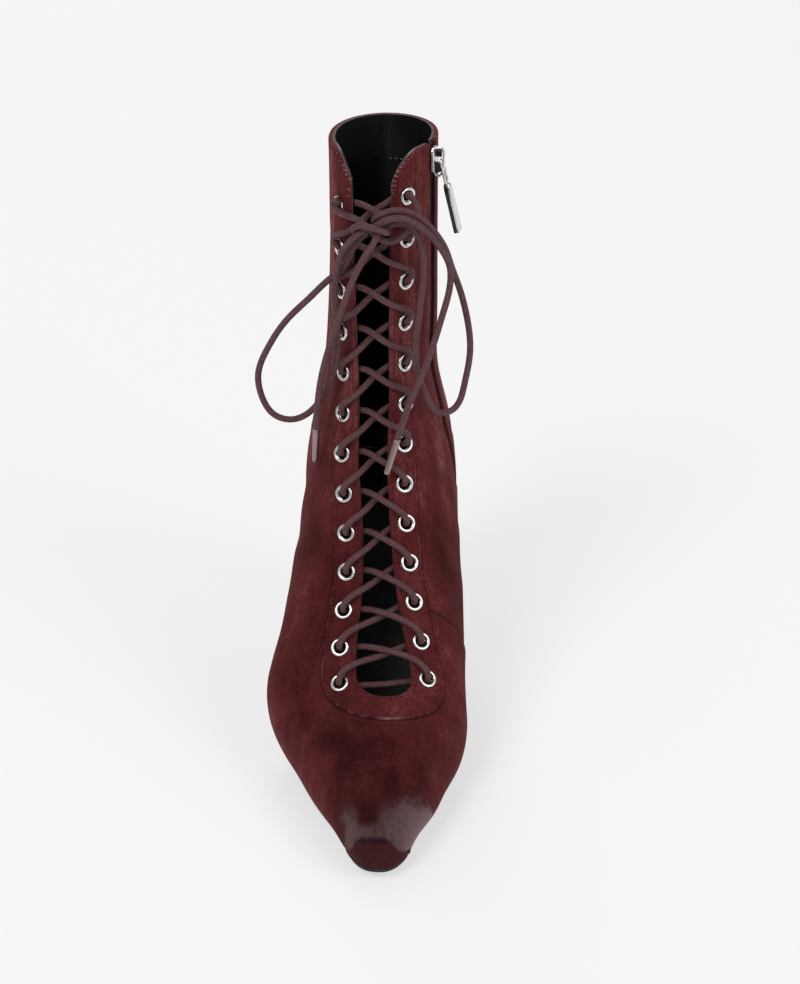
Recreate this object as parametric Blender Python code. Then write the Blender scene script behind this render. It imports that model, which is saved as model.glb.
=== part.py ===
"""A pointed lace up ankle boot for the right foot, with an open throat and a zip on its inner side.

Lengths are in metres and +Z is up. The toe points along -Y, and +X is the inner side of the foot.
The origin is the middle of the heel's face on the floor.
"""

import math
from functools import lru_cache

import bmesh
import bpy
import numpy as np
from mathutils import Vector
from mathutils.bvhtree import BVHTree

MM = 0.001

# Driving sizes of the last
BOOT_LENGTH = 0.248
HEEL_HEIGHT = 0.078
SHAFT_HEIGHT = 0.176
INSTEP_HEIGHT = 0.049
BALL_WIDTH = 0.084
SHAFT_WIDTH = 0.049
SHAFT_DEPTH = 0.093
TOE_SPRING = 0.0053

# Thicknesses and clearances
SOLE = 0.0035
WALL = 0.0018
INSOLE = 0.002
INSOLE_CLEAR = 0.0023
GAP = 0.0003

# The eyestay, the throat and its eyelets
EYESTAY_RAISE = 0.0009
EYESTAY_WIDTH = 0.0134
EYESTAY_FOOT_WIDTH = 0.0166
EYESTAY_BELOW = 0.0122
VAMP_LENGTH = 0.0870
THROAT_WIDTH = 0.0250
THROAT_ROUND = 0.0110
THROAT_CORNER_RISE = 0.0165
THROAT_CORNER_REACH = 0.0200
CORNER_MARGIN = 0.003
EYELET_PAIRS = 13
EYELET_INSET = 0.0072
EYELET_FIRST = 0.0103
EYELET_LAST = 0.0222
EYELET_STAGGER = 0.0026
EYELET_EASE = 0.0055
EYELET_RADIUS = 0.0041
EYELET_HOLE = 0.0026
EYELET_FLANGE = 0.0008
EYELET_SIDES = 8

# The seam between vamp and inner quarter
SEAM_RAISE = 0.0007
SEAM_FADE = 0.030

# The zip
ZIP_GAP = 0.0052
ZIP_TOP = 0.003
ZIP_TAPE_WIDTH = 0.0200
ZIP_TAPE = 0.0007
ZIP_SETBACK = 0.0280
ZIP_FOOT = 0.0990
SLIDER_DROP = 0.0070
SLIDER_LENGTH = 0.0110
SLIDER_WIDTH = 0.0078
SLIDER_THICK = 0.0026
LUG_BAR = 0.0007
LUG_EYE = 0.0019
LUG_WIDTH = 0.0020
PULL_WIRE = 0.0011
PULL_LENGTH = 0.0340
PULL_TAB_LENGTH = 0.0225
PULL_WIDTH = 0.0046
PULL_THICK = 0.0020
PULL_LEAN = math.radians(13)

# The sole and the heel
TIP_THICK = 0.0045
TIP_SETBACK = 0.0205
SEAT_LENGTH = 0.0500
SOLE_INSET = 0.0012
SOLE_CHAMFER = 0.0010

# The lace and its tips
LACE = 0.0029
LACE_SIDES = 6
LACE_STEP = 0.0075
AGLET_LENGTH = 0.0170
AGLET_RADIUS = 0.0015

# One row for each section of the last, from the toe's edge to the collar. A section runs from the
# ridge of the vamp, instep and shin to the sole's edge or, behind the heel, to the back seam.
# shaft: 0 on the foot, whose lengths and widths are shares of BOOT_LENGTH and BALL_WIDTH,
# and 1 on the shaft, where they are shares of SHAFT_DEPTH and SHAFT_WIDTH
# deep: how far the ridge follows the shaft's depth in place of the boot's length
# along: from the back of the heel towards the toe
# side, medial, lateral: across, positive to the inner side
# spring, instep, lift, rise: heights, as shares of TOE_SPRING, INSTEP_HEIGHT, HEEL_HEIGHT and SHAFT_HEIGHT
# wide_at: where the section is widest, as a share of the way from ridge to edge
# arc: how much of its quarter ellipse the front of the section uses; round: its exponent
SECTION_COLUMNS = (
    "shaft", "deep",
    "ridge_along", "ridge_side", "ridge_spring", "ridge_instep", "ridge_lift", "ridge_rise",
    "edge_along", "edge_medial", "edge_lateral", "edge_spring", "edge_lift", "edge_rise",
    "wide_medial", "wide_lateral", "wide_at", "arc", "round",
)
SECTIONS = (
    (0, 0, 1.006, 0.125, 1, 0, 0, 0, 0.952, 0.285, -0.048, 0.7, 0, 0, 0.285, -0.048, 1, 0.3, 2.4),
    (0, 0, 1.006, 0.122, 0.95, 0.12, 0, 0, 0.926, 0.285, -0.05, 0.5, 0, 0, 0.298, -0.066, 0.85, 0.8, 2.2),
    (0, 0, 0.98, 0.118, 0.75, 0.306, 0, 0, 0.89, 0.3, -0.088, 0.32, 0, 0, 0.325, -0.112, 0.75, 1, 2.1),
    (0, 0, 0.924, 0.11, 0.4, 0.478, 0, 0, 0.838, 0.336, -0.157, 0.13, 0, 0, 0.382, -0.2, 0.7, 1, 2),
    (0, 0, 0.844, 0.106, 0.12, 0.65, 0, 0, 0.774, 0.384, -0.25, 0, -0.004, 0, 0.436, -0.303, 0.66, 1, 1.9),
    (0, 0, 0.758, 0.102, 0, 0.816, 0, 0, 0.706, 0.436, -0.342, 0, -0.004, 0, 0.496, -0.408, 0.63, 1, 1.9),
    (0, 0, 0.686, 0.094, 0, 1, 0, 0, 0.637, 0.444, -0.406, 0, 0.036, 0, 0.527, -0.514, 0.62, 1, 1.9),
    (0, 0.1, 0.68, 0.07, 0, 1.016, 0.15, 0, 0.569, 0.39, -0.412, 0, 0.141, 0, 0.512, -0.553, 0.61, 1, 1.9),
    (0, 0.25, 0.698, 0.049, 0, 1.05, 0.32, 0, 0.484, 0.31, -0.357, 0, 0.314, 0, 0.496, -0.508, 0.6, 1, 1.95),
    (0, 0.45, 0.7569, 0.029, 0, 1.1, 0.52, 0, 0.387, 0.262, -0.327, 0, 0.545, 0, 0.472, -0.468, 0.58, 1, 2),
    (0, 0.7, 0.896, 0.007, 0, 1.17, 0.72, 0, 0.282, 0.274, -0.315, 0, 0.776, 0, 0.437, -0.432, 0.56, 1, 2.1),
    (0, 0.8, 0.952, -0.01, 0, 0, 1, 0.298, 0.169, 0.321, -0.327, 0, 0.923, 0, 0.409, -0.419, 0.55, 1, 2.2),
    (0, 0.9, 1.0423, -0.011, 0, 0, 1, 0.372, 0.056, 0.286, -0.286, 0, 0.987, 0, 0.386, -0.414, 0.55, 1, 2.2),
    (0, 0.95, 1.108, -0.011, 0, 0, 1, 0.396, 0.018, 0.179, -0.179, 0, 0.997, 0, 0.378, -0.408, 0.55, 1, 2.2),
    (0, 1, 1.184, -0.011, 0, 0, 1, 0.423, 0, 0, 0, 0, 1, 0, 0.367, -0.4, 0.54, 1, 2.2),
    (1, 1, 1.167, -0.02, 0, 0, 1, 0.469, -0.027, 0, 0, 0, 1, 0.105, 0.58, -0.622, 0.52, 1, 2.2),
    (1, 1, 1.145, -0.03, 0, 0, 1, 0.548, 0.011, 0, 0, 0, 1, 0.247, 0.496, -0.551, 0.5, 1, 2.2),
    (1, 1, 1.129, -0.04, 0, 0, 1, 0.651, 0.086, 0, 0, 0, 1, 0.418, 0.49, -0.516, 0.5, 1, 2.2),
    (1, 1, 1.118, -0.048, 0, 0, 1, 0.787, 0.118, 0, 0, 0, 1, 0.616, 0.494, -0.502, 0.5, 1, 2.2),
    (1, 1, 1.118, -0.05, 0, 0, 1, 1.094, 0.108, 0, 0, 0, 1, 1, 0.487, -0.496, 0.5, 1, 2.2),
)
SEAT_ROW = 14

# Half width of the throat at shares of its length, as shares of THROAT_WIDTH
THROAT = (
    (0, 0.50), (0.06, 0.50), (0.12, 0.43), (0.17, 0.345),
    (0.23, 0.28), (0.33, 0.246), (0.49, 0.276), (1, 0.40),
)

# The heel from its tip up to the seat: height, half width, and how far its back and its breast lie
# from the tip's middle, as shares of the heel's height, SHAFT_WIDTH and SEAT_LENGTH
HEEL_ROWS = (
    (0.00, 0.215, 0.20, 0.20),
    (0.12, 0.218, 0.20, 0.22),
    (0.32, 0.245, 0.22, 0.28),
    (0.56, 0.315, 0.28, 0.38),
    (0.78, 0.420, 0.34, 0.50),
    (1.00, 0.535, 0.385, 0.61),
)

# The bow hangs in front of the throat. Millimetres across to the inner side, forward of the heel's
# middle, and up, in the order that each cord runs from the knot.
KNOT = (
    (-17.5, 78.5, 250.5), (-20, 80, 248), (-14, 84, 247.5), (-8, 88.5, 247), (-1, 90, 246.5), (6, 92, 245.5),
    (8, 96, 244.5), (2, 98, 245), (-6, 97, 246), (-8.5, 93.5, 249.5), (-2, 91, 252), (5, 88.5, 252.5),
    (12, 87, 251), (17.5, 84.5, 249.5), (18, 81.5, 253), (14.5, 81.5, 255.5),
)
LOOP_INNER = (
    (9.5, 92.8, 251.3), (16, 91.5, 250), (23, 88, 243.5), (29, 83, 233), (32, 78, 222), (36, 76, 209),
    (40, 78, 193), (41, 80, 180.5), (39, 84.5, 167.5), (34, 90, 157), (28, 93, 157), (22.5, 93, 165),
    (18, 91.5, 178), (18, 90, 194), (20, 88.5, 212), (20.5, 88.5, 230), (18, 91, 240), (14.5, 92, 245.3),
    (12, 89.1, 249.1),
)
LOOP_OUTER = (
    (-9.5, 92, 242.5), (-14, 89.5, 235.5), (-17, 86.5, 225), (-18, 85.5, 212), (-17.5, 86, 198),
    (-17, 87, 186), (-18.5, 86.5, 174), (-23, 85, 161.5), (-29.5, 83.5, 151), (-38, 82.5, 146),
    (-46, 81.5, 147.5), (-52, 80, 156.5), (-53, 80, 168), (-49, 80, 179), (-40, 81, 194),
    (-29, 85, 208), (-20, 90.5, 219), (-12, 92, 228), (-5.5, 93, 237),
)
END_INNER = (
    (9.3, 96.9, 245.2), (14, 97.2, 246.8), (21, 95.5, 245), (27.5, 92, 237), (32, 89, 226), (32, 88.5, 214),
    (29.5, 91, 204), (25.5, 94, 190), (21, 96.5, 177), (16, 98.5, 165), (10.5, 102, 148),
)
END_OUTER = (
    (-1, 97.8, 243.5), (-1.8, 96.8, 238), (-5, 95.2, 227), (-10.5, 94.5, 214), (-15.5, 93.5, 202),
    (-19.5, 92.5, 189), (-23, 91, 176), (-25.5, 90.5, 161), (-26.5, 90, 146),
)


def natural_bend(knots, rows):
    """Second derivatives of the natural cubic that passes through every row."""
    steps = np.diff(knots)
    system = np.eye(len(knots))
    right = np.zeros_like(rows)
    for i in range(1, len(knots) - 1):
        before, after = steps[i - 1], steps[i]
        system[i, i - 1:i + 2] = before, 2 * (before + after), after
        right[i] = 6 * ((rows[i + 1] - rows[i]) / after - (rows[i] - rows[i - 1]) / before)
    return np.linalg.solve(system, right)


def along_cubic(knots, rows, at):
    """The natural cubic through the rows, read at each value of at."""
    knots, rows, at = np.asarray(knots, float), np.asarray(rows, float), np.asarray(at, float)
    bend = natural_bend(knots, rows)
    i = np.clip(np.searchsorted(knots, at, side="right") - 1, 0, len(knots) - 2)
    step = knots[i + 1] - knots[i]
    after = ((at - knots[i]) / step)[..., None]
    before = 1 - after
    sag = (before ** 3 - before) * bend[i] + (after ** 3 - after) * bend[i + 1]
    return before * rows[i] + after * rows[i + 1] + sag * (step ** 2)[..., None] / 6


class Last:
    """The boot's outer form: a smooth family of sections that fan from the toe round to the collar."""

    STATIONS = 360
    SHARES = 96
    DENSE = 240

    def __init__(self):
        rows = np.array(SECTIONS, float)
        column = {name: rows[:, i] for i, name in enumerate(SECTION_COLUMNS)}
        shaft = column["shaft"]
        length = BOOT_LENGTH * (1 - shaft) + SHAFT_DEPTH * shaft
        width = BALL_WIDTH * (1 - shaft) + SHAFT_WIDTH * shaft
        deep = column["deep"]
        ridge = np.stack([
            column["ridge_along"] * (BOOT_LENGTH * (1 - deep) + SHAFT_DEPTH * deep),
            column["ridge_side"] * width,
            SOLE + column["ridge_spring"] * TOE_SPRING + column["ridge_instep"] * INSTEP_HEIGHT
            + column["ridge_lift"] * HEEL_HEIGHT + column["ridge_rise"] * SHAFT_HEIGHT,
            column["wide_medial"] * width,
            column["wide_lateral"] * width,
            column["wide_at"],
            column["arc"],
            column["round"],
        ], 1)
        edge = np.stack([
            column["edge_along"] * length,
            column["edge_medial"] * width,
            column["edge_lateral"] * width,
            column["edge_spring"] * TOE_SPRING + column["edge_lift"] * HEEL_HEIGHT
            + column["edge_rise"] * SHAFT_HEIGHT,
        ], 1)
        steps = (
            np.hypot(*np.diff(ridge[:, [0, 2]], axis=0).T)
            + np.linalg.norm(np.diff(edge, axis=0), axis=1)
        ) / 2
        self.knots = np.concatenate([[0], np.cumsum(steps)])
        self.top = self.knots[-1]
        self.seat = self.knots[SEAT_ROW]
        self.ridge_rows, self.edge_rows = ridge, edge
        self.stations = np.unique(np.concatenate([
            np.linspace(0, self.top, self.STATIONS), [self.seat],
        ]))
        self.tables = {side: self.table(side) for side in (1, -1)}
        ridge_line = self.ridge(self.stations)[:, :3]
        self.ridge_length = np.concatenate([
            [0], np.cumsum(np.linalg.norm(np.diff(ridge_line, axis=0), axis=1)),
        ])

    def ridge(self, at):
        return along_cubic(self.knots, self.ridge_rows, at)

    def edge(self, at):
        """The sole's edge up to the seat's back, and the back seam above it."""
        at = np.asarray(at, float)
        split = SEAT_ROW + 1
        foot = along_cubic(self.knots[:split], self.edge_rows[:split], np.minimum(at, self.seat))
        back = along_cubic(self.knots[SEAT_ROW:], self.edge_rows[SEAT_ROW:], np.maximum(at, self.seat))
        both = np.where((at <= self.seat)[..., None], foot, back)
        both[..., 1] = np.where(at < self.seat, both[..., 1], 0)
        both[..., 2] = np.where(at < self.seat, both[..., 2], 0)
        both[..., 3] = SOLE + np.maximum(both[..., 3], 0)
        return both

    def table(self, side):
        """Points of one half at every station and share of its girth, and each half girth."""
        ridge, edge = self.ridge(self.stations), self.edge(self.stations)
        way = (1 - np.cos(np.pi * np.linspace(0, 1, self.DENSE))) / 2
        wide_at = np.minimum(ridge[:, 5], 1)[:, None]
        arc = np.minimum(ridge[:, 6], 1)[:, None]
        power = ridge[:, 7][:, None]
        middle = ridge[:, 1][:, None]
        widest = ridge[:, 3 if side > 0 else 4][:, None]
        foot = edge[:, 1 if side > 0 else 2][:, None]
        front = np.clip(arc * way / wide_at, 0, 1)
        bulge = (1 - (1 - front) ** power) ** (1 / power)
        bulge = bulge / (1 - (1 - arc) ** power) ** (1 / power)
        behind = np.clip((way - wide_at) / np.maximum(1 - wide_at, 1e-6), 0, 1)
        tuck = np.clip(np.abs(foot / widest), 0, 1)
        close = (1 - behind ** 2.1) ** (0.5 + 0.45 * tuck ** 2)
        across = np.where(
            way <= wide_at, middle + (widest - middle) * bulge, foot + (widest - foot) * close)
        forward = ridge[:, 0][:, None] + (edge[:, 0] - ridge[:, 0])[:, None] * way
        up = ridge[:, 2][:, None] + (edge[:, 3] - ridge[:, 2])[:, None] * way
        points = np.stack([across, TIP_SETBACK - forward, up], -1)
        girth = np.concatenate([
            np.zeros((len(points), 1)),
            np.cumsum(np.linalg.norm(np.diff(points, axis=1), axis=2), 1),
        ], 1)
        shares = np.linspace(0, 1, self.SHARES)
        even = np.empty((len(points), self.SHARES, 3))
        for i in range(len(points)):
            for k in range(3):
                even[i, :, k] = np.interp(shares * girth[i, -1], girth[i], points[i, :, k])
        return even, girth[:, -1], (way, girth)

    def girth(self, at, side):
        return np.interp(at, self.stations, self.tables[side][1])

    def read(self, table, at, share):
        """A table read between its stations and shares."""
        i = np.clip(np.searchsorted(self.stations, at, side="right") - 1, 0, len(self.stations) - 2)
        f = ((at - self.stations[i]) / (self.stations[i + 1] - self.stations[i]))[..., None]
        s = np.clip(share, 0, 1) * (self.SHARES - 1)
        j = np.clip(np.floor(s).astype(int), 0, self.SHARES - 2)
        g = (s - j)[..., None]
        low = table[i, j] * (1 - g) + table[i, j + 1] * g
        high = table[i + 1, j] * (1 - g) + table[i + 1, j + 1] * g
        return low * (1 - f) + high * f

    def point(self, at, share):
        """The outer form at a station and a share of the half girth, positive on the inner side."""
        at, share = np.broadcast_arrays(np.asarray(at, float), np.asarray(share, float))
        inner = self.read(self.tables[1][0], at, np.abs(share))
        outer = self.read(self.tables[-1][0], at, np.abs(share))
        return np.where((share >= 0)[..., None], inner, outer)

    def normal(self, at, share):
        """The outward direction there."""
        at, share = np.broadcast_arrays(np.asarray(at, float), np.asarray(share, float))
        reach, spread = 0.0015, 0.012
        at = np.clip(at, reach, self.top - reach)
        share = np.clip(share, -1 + spread, 1 - spread)
        up = self.point(at + reach, share) - self.point(at - reach, share)
        across = self.point(at, share + spread) - self.point(at, share - spread)
        out = np.cross(across, up)
        return out / np.linalg.norm(out, axis=-1, keepdims=True)

    def station(self, ridge_length):
        """The station at a distance from the toe along the ridge."""
        return np.interp(ridge_length, self.ridge_length, self.stations)

    def bed(self, y):
        """Height of the last's underside at a place along the boot."""
        at = self.stations[self.stations <= self.seat]
        edge = self.edge(at)
        return np.interp(TIP_SETBACK - np.asarray(y, float), edge[::-1, 0], edge[::-1, 3])


LAST = Last()
THROAT_LENGTH = LAST.ridge_length[-1] - VAMP_LENGTH


def throat_half_width(up_throat):
    """Girth from the ridge to the throat's edge, at a distance up the throat from its lowest point."""
    shares, halves = np.array(THROAT).T
    half = THROAT_WIDTH * np.interp(up_throat / THROAT_LENGTH, shares, halves)
    into_round = min(up_throat / THROAT_ROUND, 1)
    half *= math.sqrt(1 - (1 - into_round) ** 2)
    return half


def corner_reach(up_throat):
    """How far the throat's edge has curved outwards where it meets the collar."""
    into_corner = min(max((up_throat - THROAT_LENGTH) / THROAT_CORNER_RISE + 1, 0), 1)
    return THROAT_CORNER_REACH * (1 - math.sqrt(1 - into_corner ** 2))


def eyestay_width(up_throat):
    """Width of the eyestay beside the throat, broader where it goes round the throat's foot."""
    settle = min(up_throat / (0.25 * THROAT_LENGTH), 1)
    return EYESTAY_FOOT_WIDTH + (EYESTAY_WIDTH - EYESTAY_FOOT_WIDTH) * settle


def zip_way(at):
    """Share of the inner half girth where the zip's middle crosses the section at this station."""
    ridge, edge = LAST.ridge(at), LAST.edge(at)
    forward = LAST.ridge(LAST.top)[0] - ZIP_SETBACK
    way = (ridge[0] - forward) / (ridge[0] - edge[0])
    _, halves, (ways, girths) = LAST.tables[1]
    nearest = int(np.argmin(np.abs(LAST.stations - at)))
    return float(np.interp(way, ways, girths[nearest]) / halves[nearest])


@lru_cache
def zip_end_station():
    """The station where the zip's middle comes down to ZIP_FOOT."""
    stations = np.linspace(LAST.knots[10], LAST.top, 200)
    heights = [float(LAST.point(at, zip_way(at))[2]) for at in stations]
    return float(np.interp(ZIP_FOOT, heights, stations))


def add_object(name, mesh, material, smooth=True):
    """A named object for one sub-part."""
    made = bpy.data.objects.new(name, mesh)
    bpy.context.scene.collection.objects.link(made)
    mesh.materials.append(material)
    if smooth:
        mesh.shade_smooth()
        mesh.set_sharp_from_angle(angle=math.radians(35))
    return made


def mesh_of(name, points, faces):
    mesh = bpy.data.meshes.new(name)
    mesh.from_pydata([tuple(map(float, p)) for p in points], [], faces)
    mesh.update()
    return mesh


def shell(name, outside, inside, present, seam_columns=None):
    """A closed wall between two grids of points, made only where a cell is present.

    seam_columns gives pairs of (row, column) nodes that are one node, as along a back seam.
    """
    rows, columns = outside.shape[:2]
    count = rows * columns
    points = np.concatenate([outside.reshape(-1, 3), inside.reshape(-1, 3)])
    same = np.arange(2 * count)
    for (row_a, column_a), (row_b, column_b) in seam_columns or ():
        for layer in (0, count):
            same[layer + row_b * columns + column_b] = layer + row_a * columns + column_a
    faces, edges = [], {}
    for r in range(rows - 1):
        for c in range(columns - 1):
            if not present[r, c]:
                continue
            corner = [r * columns + c, r * columns + c + 1, (r + 1) * columns + c + 1, (r + 1) * columns + c]
            corner = [int(same[i]) for i in corner]
            faces.append(corner)
            faces.append([i + count for i in reversed(corner)])
            for a, b in zip(corner, corner[1:] + corner[:1]):
                if a != b:
                    edges[(a, b)] = edges.get((a, b), 0) + 1
    for a, b in edges:
        if (b, a) not in edges:
            faces.append([b, a, a + count, b + count])
    faces = [[i for k, i in enumerate(f) if i != f[k - 1]] for f in faces]
    used = sorted({i for f in faces for i in f})
    index = {old: new for new, old in enumerate(used)}
    return mesh_of(name, points[used], [[index[i] for i in f] for f in faces])


def material(name, colour, roughness, metallic=0.0):
    made = bpy.data.materials.new(name)
    made.use_nodes = True
    shader = made.node_tree.nodes["Principled BSDF"]
    shader.inputs["Base Color"].default_value = (*colour, 1)
    shader.inputs["Roughness"].default_value = roughness
    shader.inputs["Metallic"].default_value = metallic
    return made


# The upper's grid. Its lines run outwards from the throat: down each side of the throat they are the
# last's own sections, and round the throat's foot they spread over the vamp to the toe.
SHAFT_LINES = 12
HEEL_LINES = 12
HEEL_TURN = 0.030
CORNER_LINES = 4
TOE_LINES = 20
QUARTER_COLUMNS = 3
BACK_COLUMNS = 4


def side_stations():
    """Stations of the grid's lines on each side of the throat, from the collar down."""
    turns = [math.pi / 2 * k / CORNER_LINES for k in range(CORNER_LINES)]
    depths = [THROAT_CORNER_RISE * (1 - math.cos(turn)) for turn in turns]
    corner = [float(LAST.station(LAST.ridge_length[-1] - depth)) for depth in depths]
    below = float(LAST.station(LAST.ridge_length[-1] - THROAT_CORNER_RISE))
    zip_end = zip_end_station()
    foot = float(LAST.station(VAMP_LENGTH + THROAT_ROUND))
    shaft = np.linspace(below, zip_end, SHAFT_LINES)
    return [*corner, *shaft, *heel_stations(zip_end, foot)]


def heel_stations(start, finish):
    """Stations spaced along the seat's edge, closer together where it turns round the heel."""
    at = np.linspace(start, finish, 400)
    edge = LAST.point(at, 1.0)
    step = np.diff(edge, axis=0)
    length = np.linalg.norm(step, axis=1)
    ahead = step / length[:, None]
    turn = np.concatenate([[0], np.linalg.norm(np.diff(ahead, axis=0), axis=1)])
    weight = np.concatenate([[0], np.cumsum(length + HEEL_TURN * np.minimum(turn, 0.2))])
    ridge = np.interp(at, LAST.stations, LAST.ridge_length)
    weight += ridge[0] - ridge
    wanted = np.linspace(0, weight[-1], HEEL_LINES + 1)[1:]
    return np.interp(wanted, weight, at)


def throat_line(at, side):
    """Shares of the half girth for the grid's columns along one section beside the throat."""
    up_throat = float(np.interp(at, LAST.stations, LAST.ridge_length)) - VAMP_LENGTH
    girth = float(LAST.girth(at, side))
    straight = throat_half_width(max(up_throat, THROAT_ROUND)) / girth
    edge = straight + corner_reach(up_throat) / girth
    stay = max(straight + eyestay_width(up_throat) / girth, edge + CORNER_MARGIN / girth)
    eyelet = max(straight + EYELET_INSET / girth, (edge + stay) / 2)
    step = EYESTAY_RAISE / girth
    zip_end = zip_end_station()
    middle = zip_way(max(at, zip_end))
    half_gap = ZIP_GAP / 2 / girth
    middle = max(middle, stay + 3 * half_gap)
    tape = 0.55 * ZIP_TAPE_WIDTH / girth
    quarter = np.linspace(stay + step, middle - half_gap, QUARTER_COLUMNS + 1)
    back = np.linspace(middle + tape, 1, BACK_COLUMNS)
    return np.array([edge, eyelet, stay, *quarter, middle + half_gap, *back])


def toe_outline(count):
    """Stations and shares along the sole's edge round the toe, from the inner side to the outer."""
    foot = float(LAST.station(VAMP_LENGTH + THROAT_ROUND))
    down = np.linspace(foot, 0, 60)
    round_toe = np.linspace(1, -1, 40)[1:-1]
    stations = np.concatenate([down, np.zeros(len(round_toe)), down[::-1]])
    shares = np.concatenate([np.ones(60), round_toe, -np.ones(60)])
    points = LAST.point(stations, shares)
    length = np.concatenate([[0], np.cumsum(np.linalg.norm(np.diff(points, axis=0), axis=1))])
    tip = np.interp(0, -shares, length)
    half = count // 2
    wanted = np.concatenate([np.linspace(0, tip, half + 1), np.linspace(tip, length[-1], half + 1)[1:]])
    return np.interp(wanted, length, stations), np.interp(wanted, length, shares)


def toe_lines():
    """Stations and shares of the grid's lines that spread from the throat's foot over the vamp."""
    foot_inner, foot_outer = (throat_line(side_stations()[-1], side) for side in (1, -1))
    out_stations, out_shares = toe_outline(TOE_LINES)
    lines = []
    for k in range(1, TOE_LINES):
        turn = math.pi * k / TOE_LINES
        side = 1 if math.cos(turn) >= 0 else -1
        columns = foot_inner if side > 0 else foot_outer
        line = []
        for c in range(3):
            depth = THROAT_ROUND + (0, EYELET_INSET, EYESTAY_BELOW)[c]
            start = VAMP_LENGTH + THROAT_ROUND - depth * math.sin(turn) ** 0.9
            line.append((float(LAST.station(start)), columns[c] * math.cos(turn)))
        stay = line[2]
        rest = (columns[3:] - columns[3]) / (1 - columns[3])
        target = (out_stations[k], out_shares[k])
        reach = math.dist(LAST.point(*stay), LAST.point(*target))
        rest = rest + (EYESTAY_RAISE / reach) * (1 - rest)
        line += [tuple(np.array(stay) * (1 - w) + np.array(target) * w) for w in rest]
        lines.append(line)
    return np.array(lines)


@lru_cache
def upper_grid():
    """Stations and shares of every point of the upper's grid, from the inner collar round to the outer."""
    stations = side_stations()
    inner = [[(at, share) for share in throat_line(at, 1)] for at in stations]
    outer = [[(at, -share) for share in throat_line(at, -1)] for at in reversed(stations)]
    return np.concatenate([np.array(inner), toe_lines(), np.array(outer)])


def seam_raise(grid):
    """The vamp laps over the inner quarter just behind the throat's foot, and the step fades to the toe."""
    first = len(side_stations()) - 2
    height = np.zeros(grid.shape[:2])
    start = grid[first, 0, 0]
    for row in range(first, first + TOE_LINES // 2):
        fade = 1 - np.clip((start - grid[row, :, 0]) / SEAM_FADE, 0, 1)
        height[row, 3:] = SEAM_RAISE * fade[3:]
    return height


def build_upper(suede):
    grid = upper_grid()
    at, share = grid[..., 0], grid[..., 1]
    surface, out = LAST.point(at, share), LAST.normal(at, share)
    lift = seam_raise(grid)
    lift[:, :3] = EYESTAY_RAISE
    outside = surface + out * lift[..., None]
    inside = surface - out * WALL
    seat_on_sole(outside, inside, surface)
    rows, columns = at.shape
    present = np.ones((rows - 1, columns - 1), bool)
    zip_column = 3 + QUARTER_COLUMNS
    zip_rows = CORNER_LINES + SHAFT_LINES - 1
    present[:zip_rows, zip_column] = False
    back = [r for r in range(rows // 2) if grid[r, -1, 0] >= LAST.seat]
    for r in back:
        inside[r, -1, 0] = inside[rows - 1 - r, -1, 0] = 0
    seam = [((r, columns - 1), (rows - 1 - r, columns - 1)) for r in back]
    mesh = shell("upper", outside, inside, present, seam)
    corners = [v.co.copy() for v in mesh.vertices]
    surface = BVHTree.FromPolygons(corners, [tuple(p.vertices) for p in mesh.polygons])
    upper = add_object("upper", mesh, suede)
    cut_eyelet_holes(upper)
    return surface


def seat_on_sole(outside, inside, surface):
    """Brings the wall's lower rim flat onto the sole, a gap above it."""
    for row in range(len(outside)):
        if surface[row, -1, 2] > LAST.bed(surface[row, -1, 1]) + 2 * GAP:
            continue
        for layer in (outside, inside):
            layer[row, -1, 2] = LAST.bed(layer[row, -1, 1]) + GAP


def eyelet_length(k, side):
    """Distance of an eyelet from the toe along the ridge. The spacing opens a little towards the collar."""
    first, last = VAMP_LENGTH + EYELET_FIRST, LAST.ridge_length[-1] - EYELET_LAST
    way = k / (EYELET_PAIRS - 1)
    return first + (last - first) * way - EYELET_EASE * 4 * way * (1 - way) + side * EYELET_STAGGER


def eyelet_places():
    """Centre, outward direction and upward direction of each eyelet, lowest first, inner side then outer."""
    places = []
    for k in range(EYELET_PAIRS):
        for side in (1, -1):
            length = eyelet_length(k, side)
            at = float(LAST.station(length))
            girth = float(LAST.girth(at, side))
            edge = throat_half_width(max(length - VAMP_LENGTH, THROAT_ROUND))
            share = side * (edge + EYELET_INSET) / girth
            centre, out = LAST.point(at, share), LAST.normal(at, share)
            up = LAST.point(at + MM, share) - LAST.point(at - MM, share)
            up = up - out * np.dot(up, out)
            places.append((k, side, centre, out, up / np.linalg.norm(up)))
    return places


def ring_points(centre, out, up, radius, height, sides):
    across = np.cross(up, out)
    turns = [2 * math.pi * (i + 0.5) / sides for i in range(sides)]
    return [
        centre + out * height + radius * (up * math.cos(t) + across * math.sin(t)) for t in turns
    ]


def turned(name, centre, out, up, profile, sides):
    """A solid turned about an axis, from a closed profile of (radius, height) pairs."""
    points = []
    for radius, height in profile:
        points += ring_points(centre, out, up, radius, height, sides)
    faces = []
    steps = len(profile)
    for p in range(steps):
        for i in range(sides):
            j = (i + 1) % sides
            q = (p + 1) % steps
            faces.append([p * sides + i, p * sides + j, q * sides + j, q * sides + i])
    return mesh_of(name, points, faces)


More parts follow.
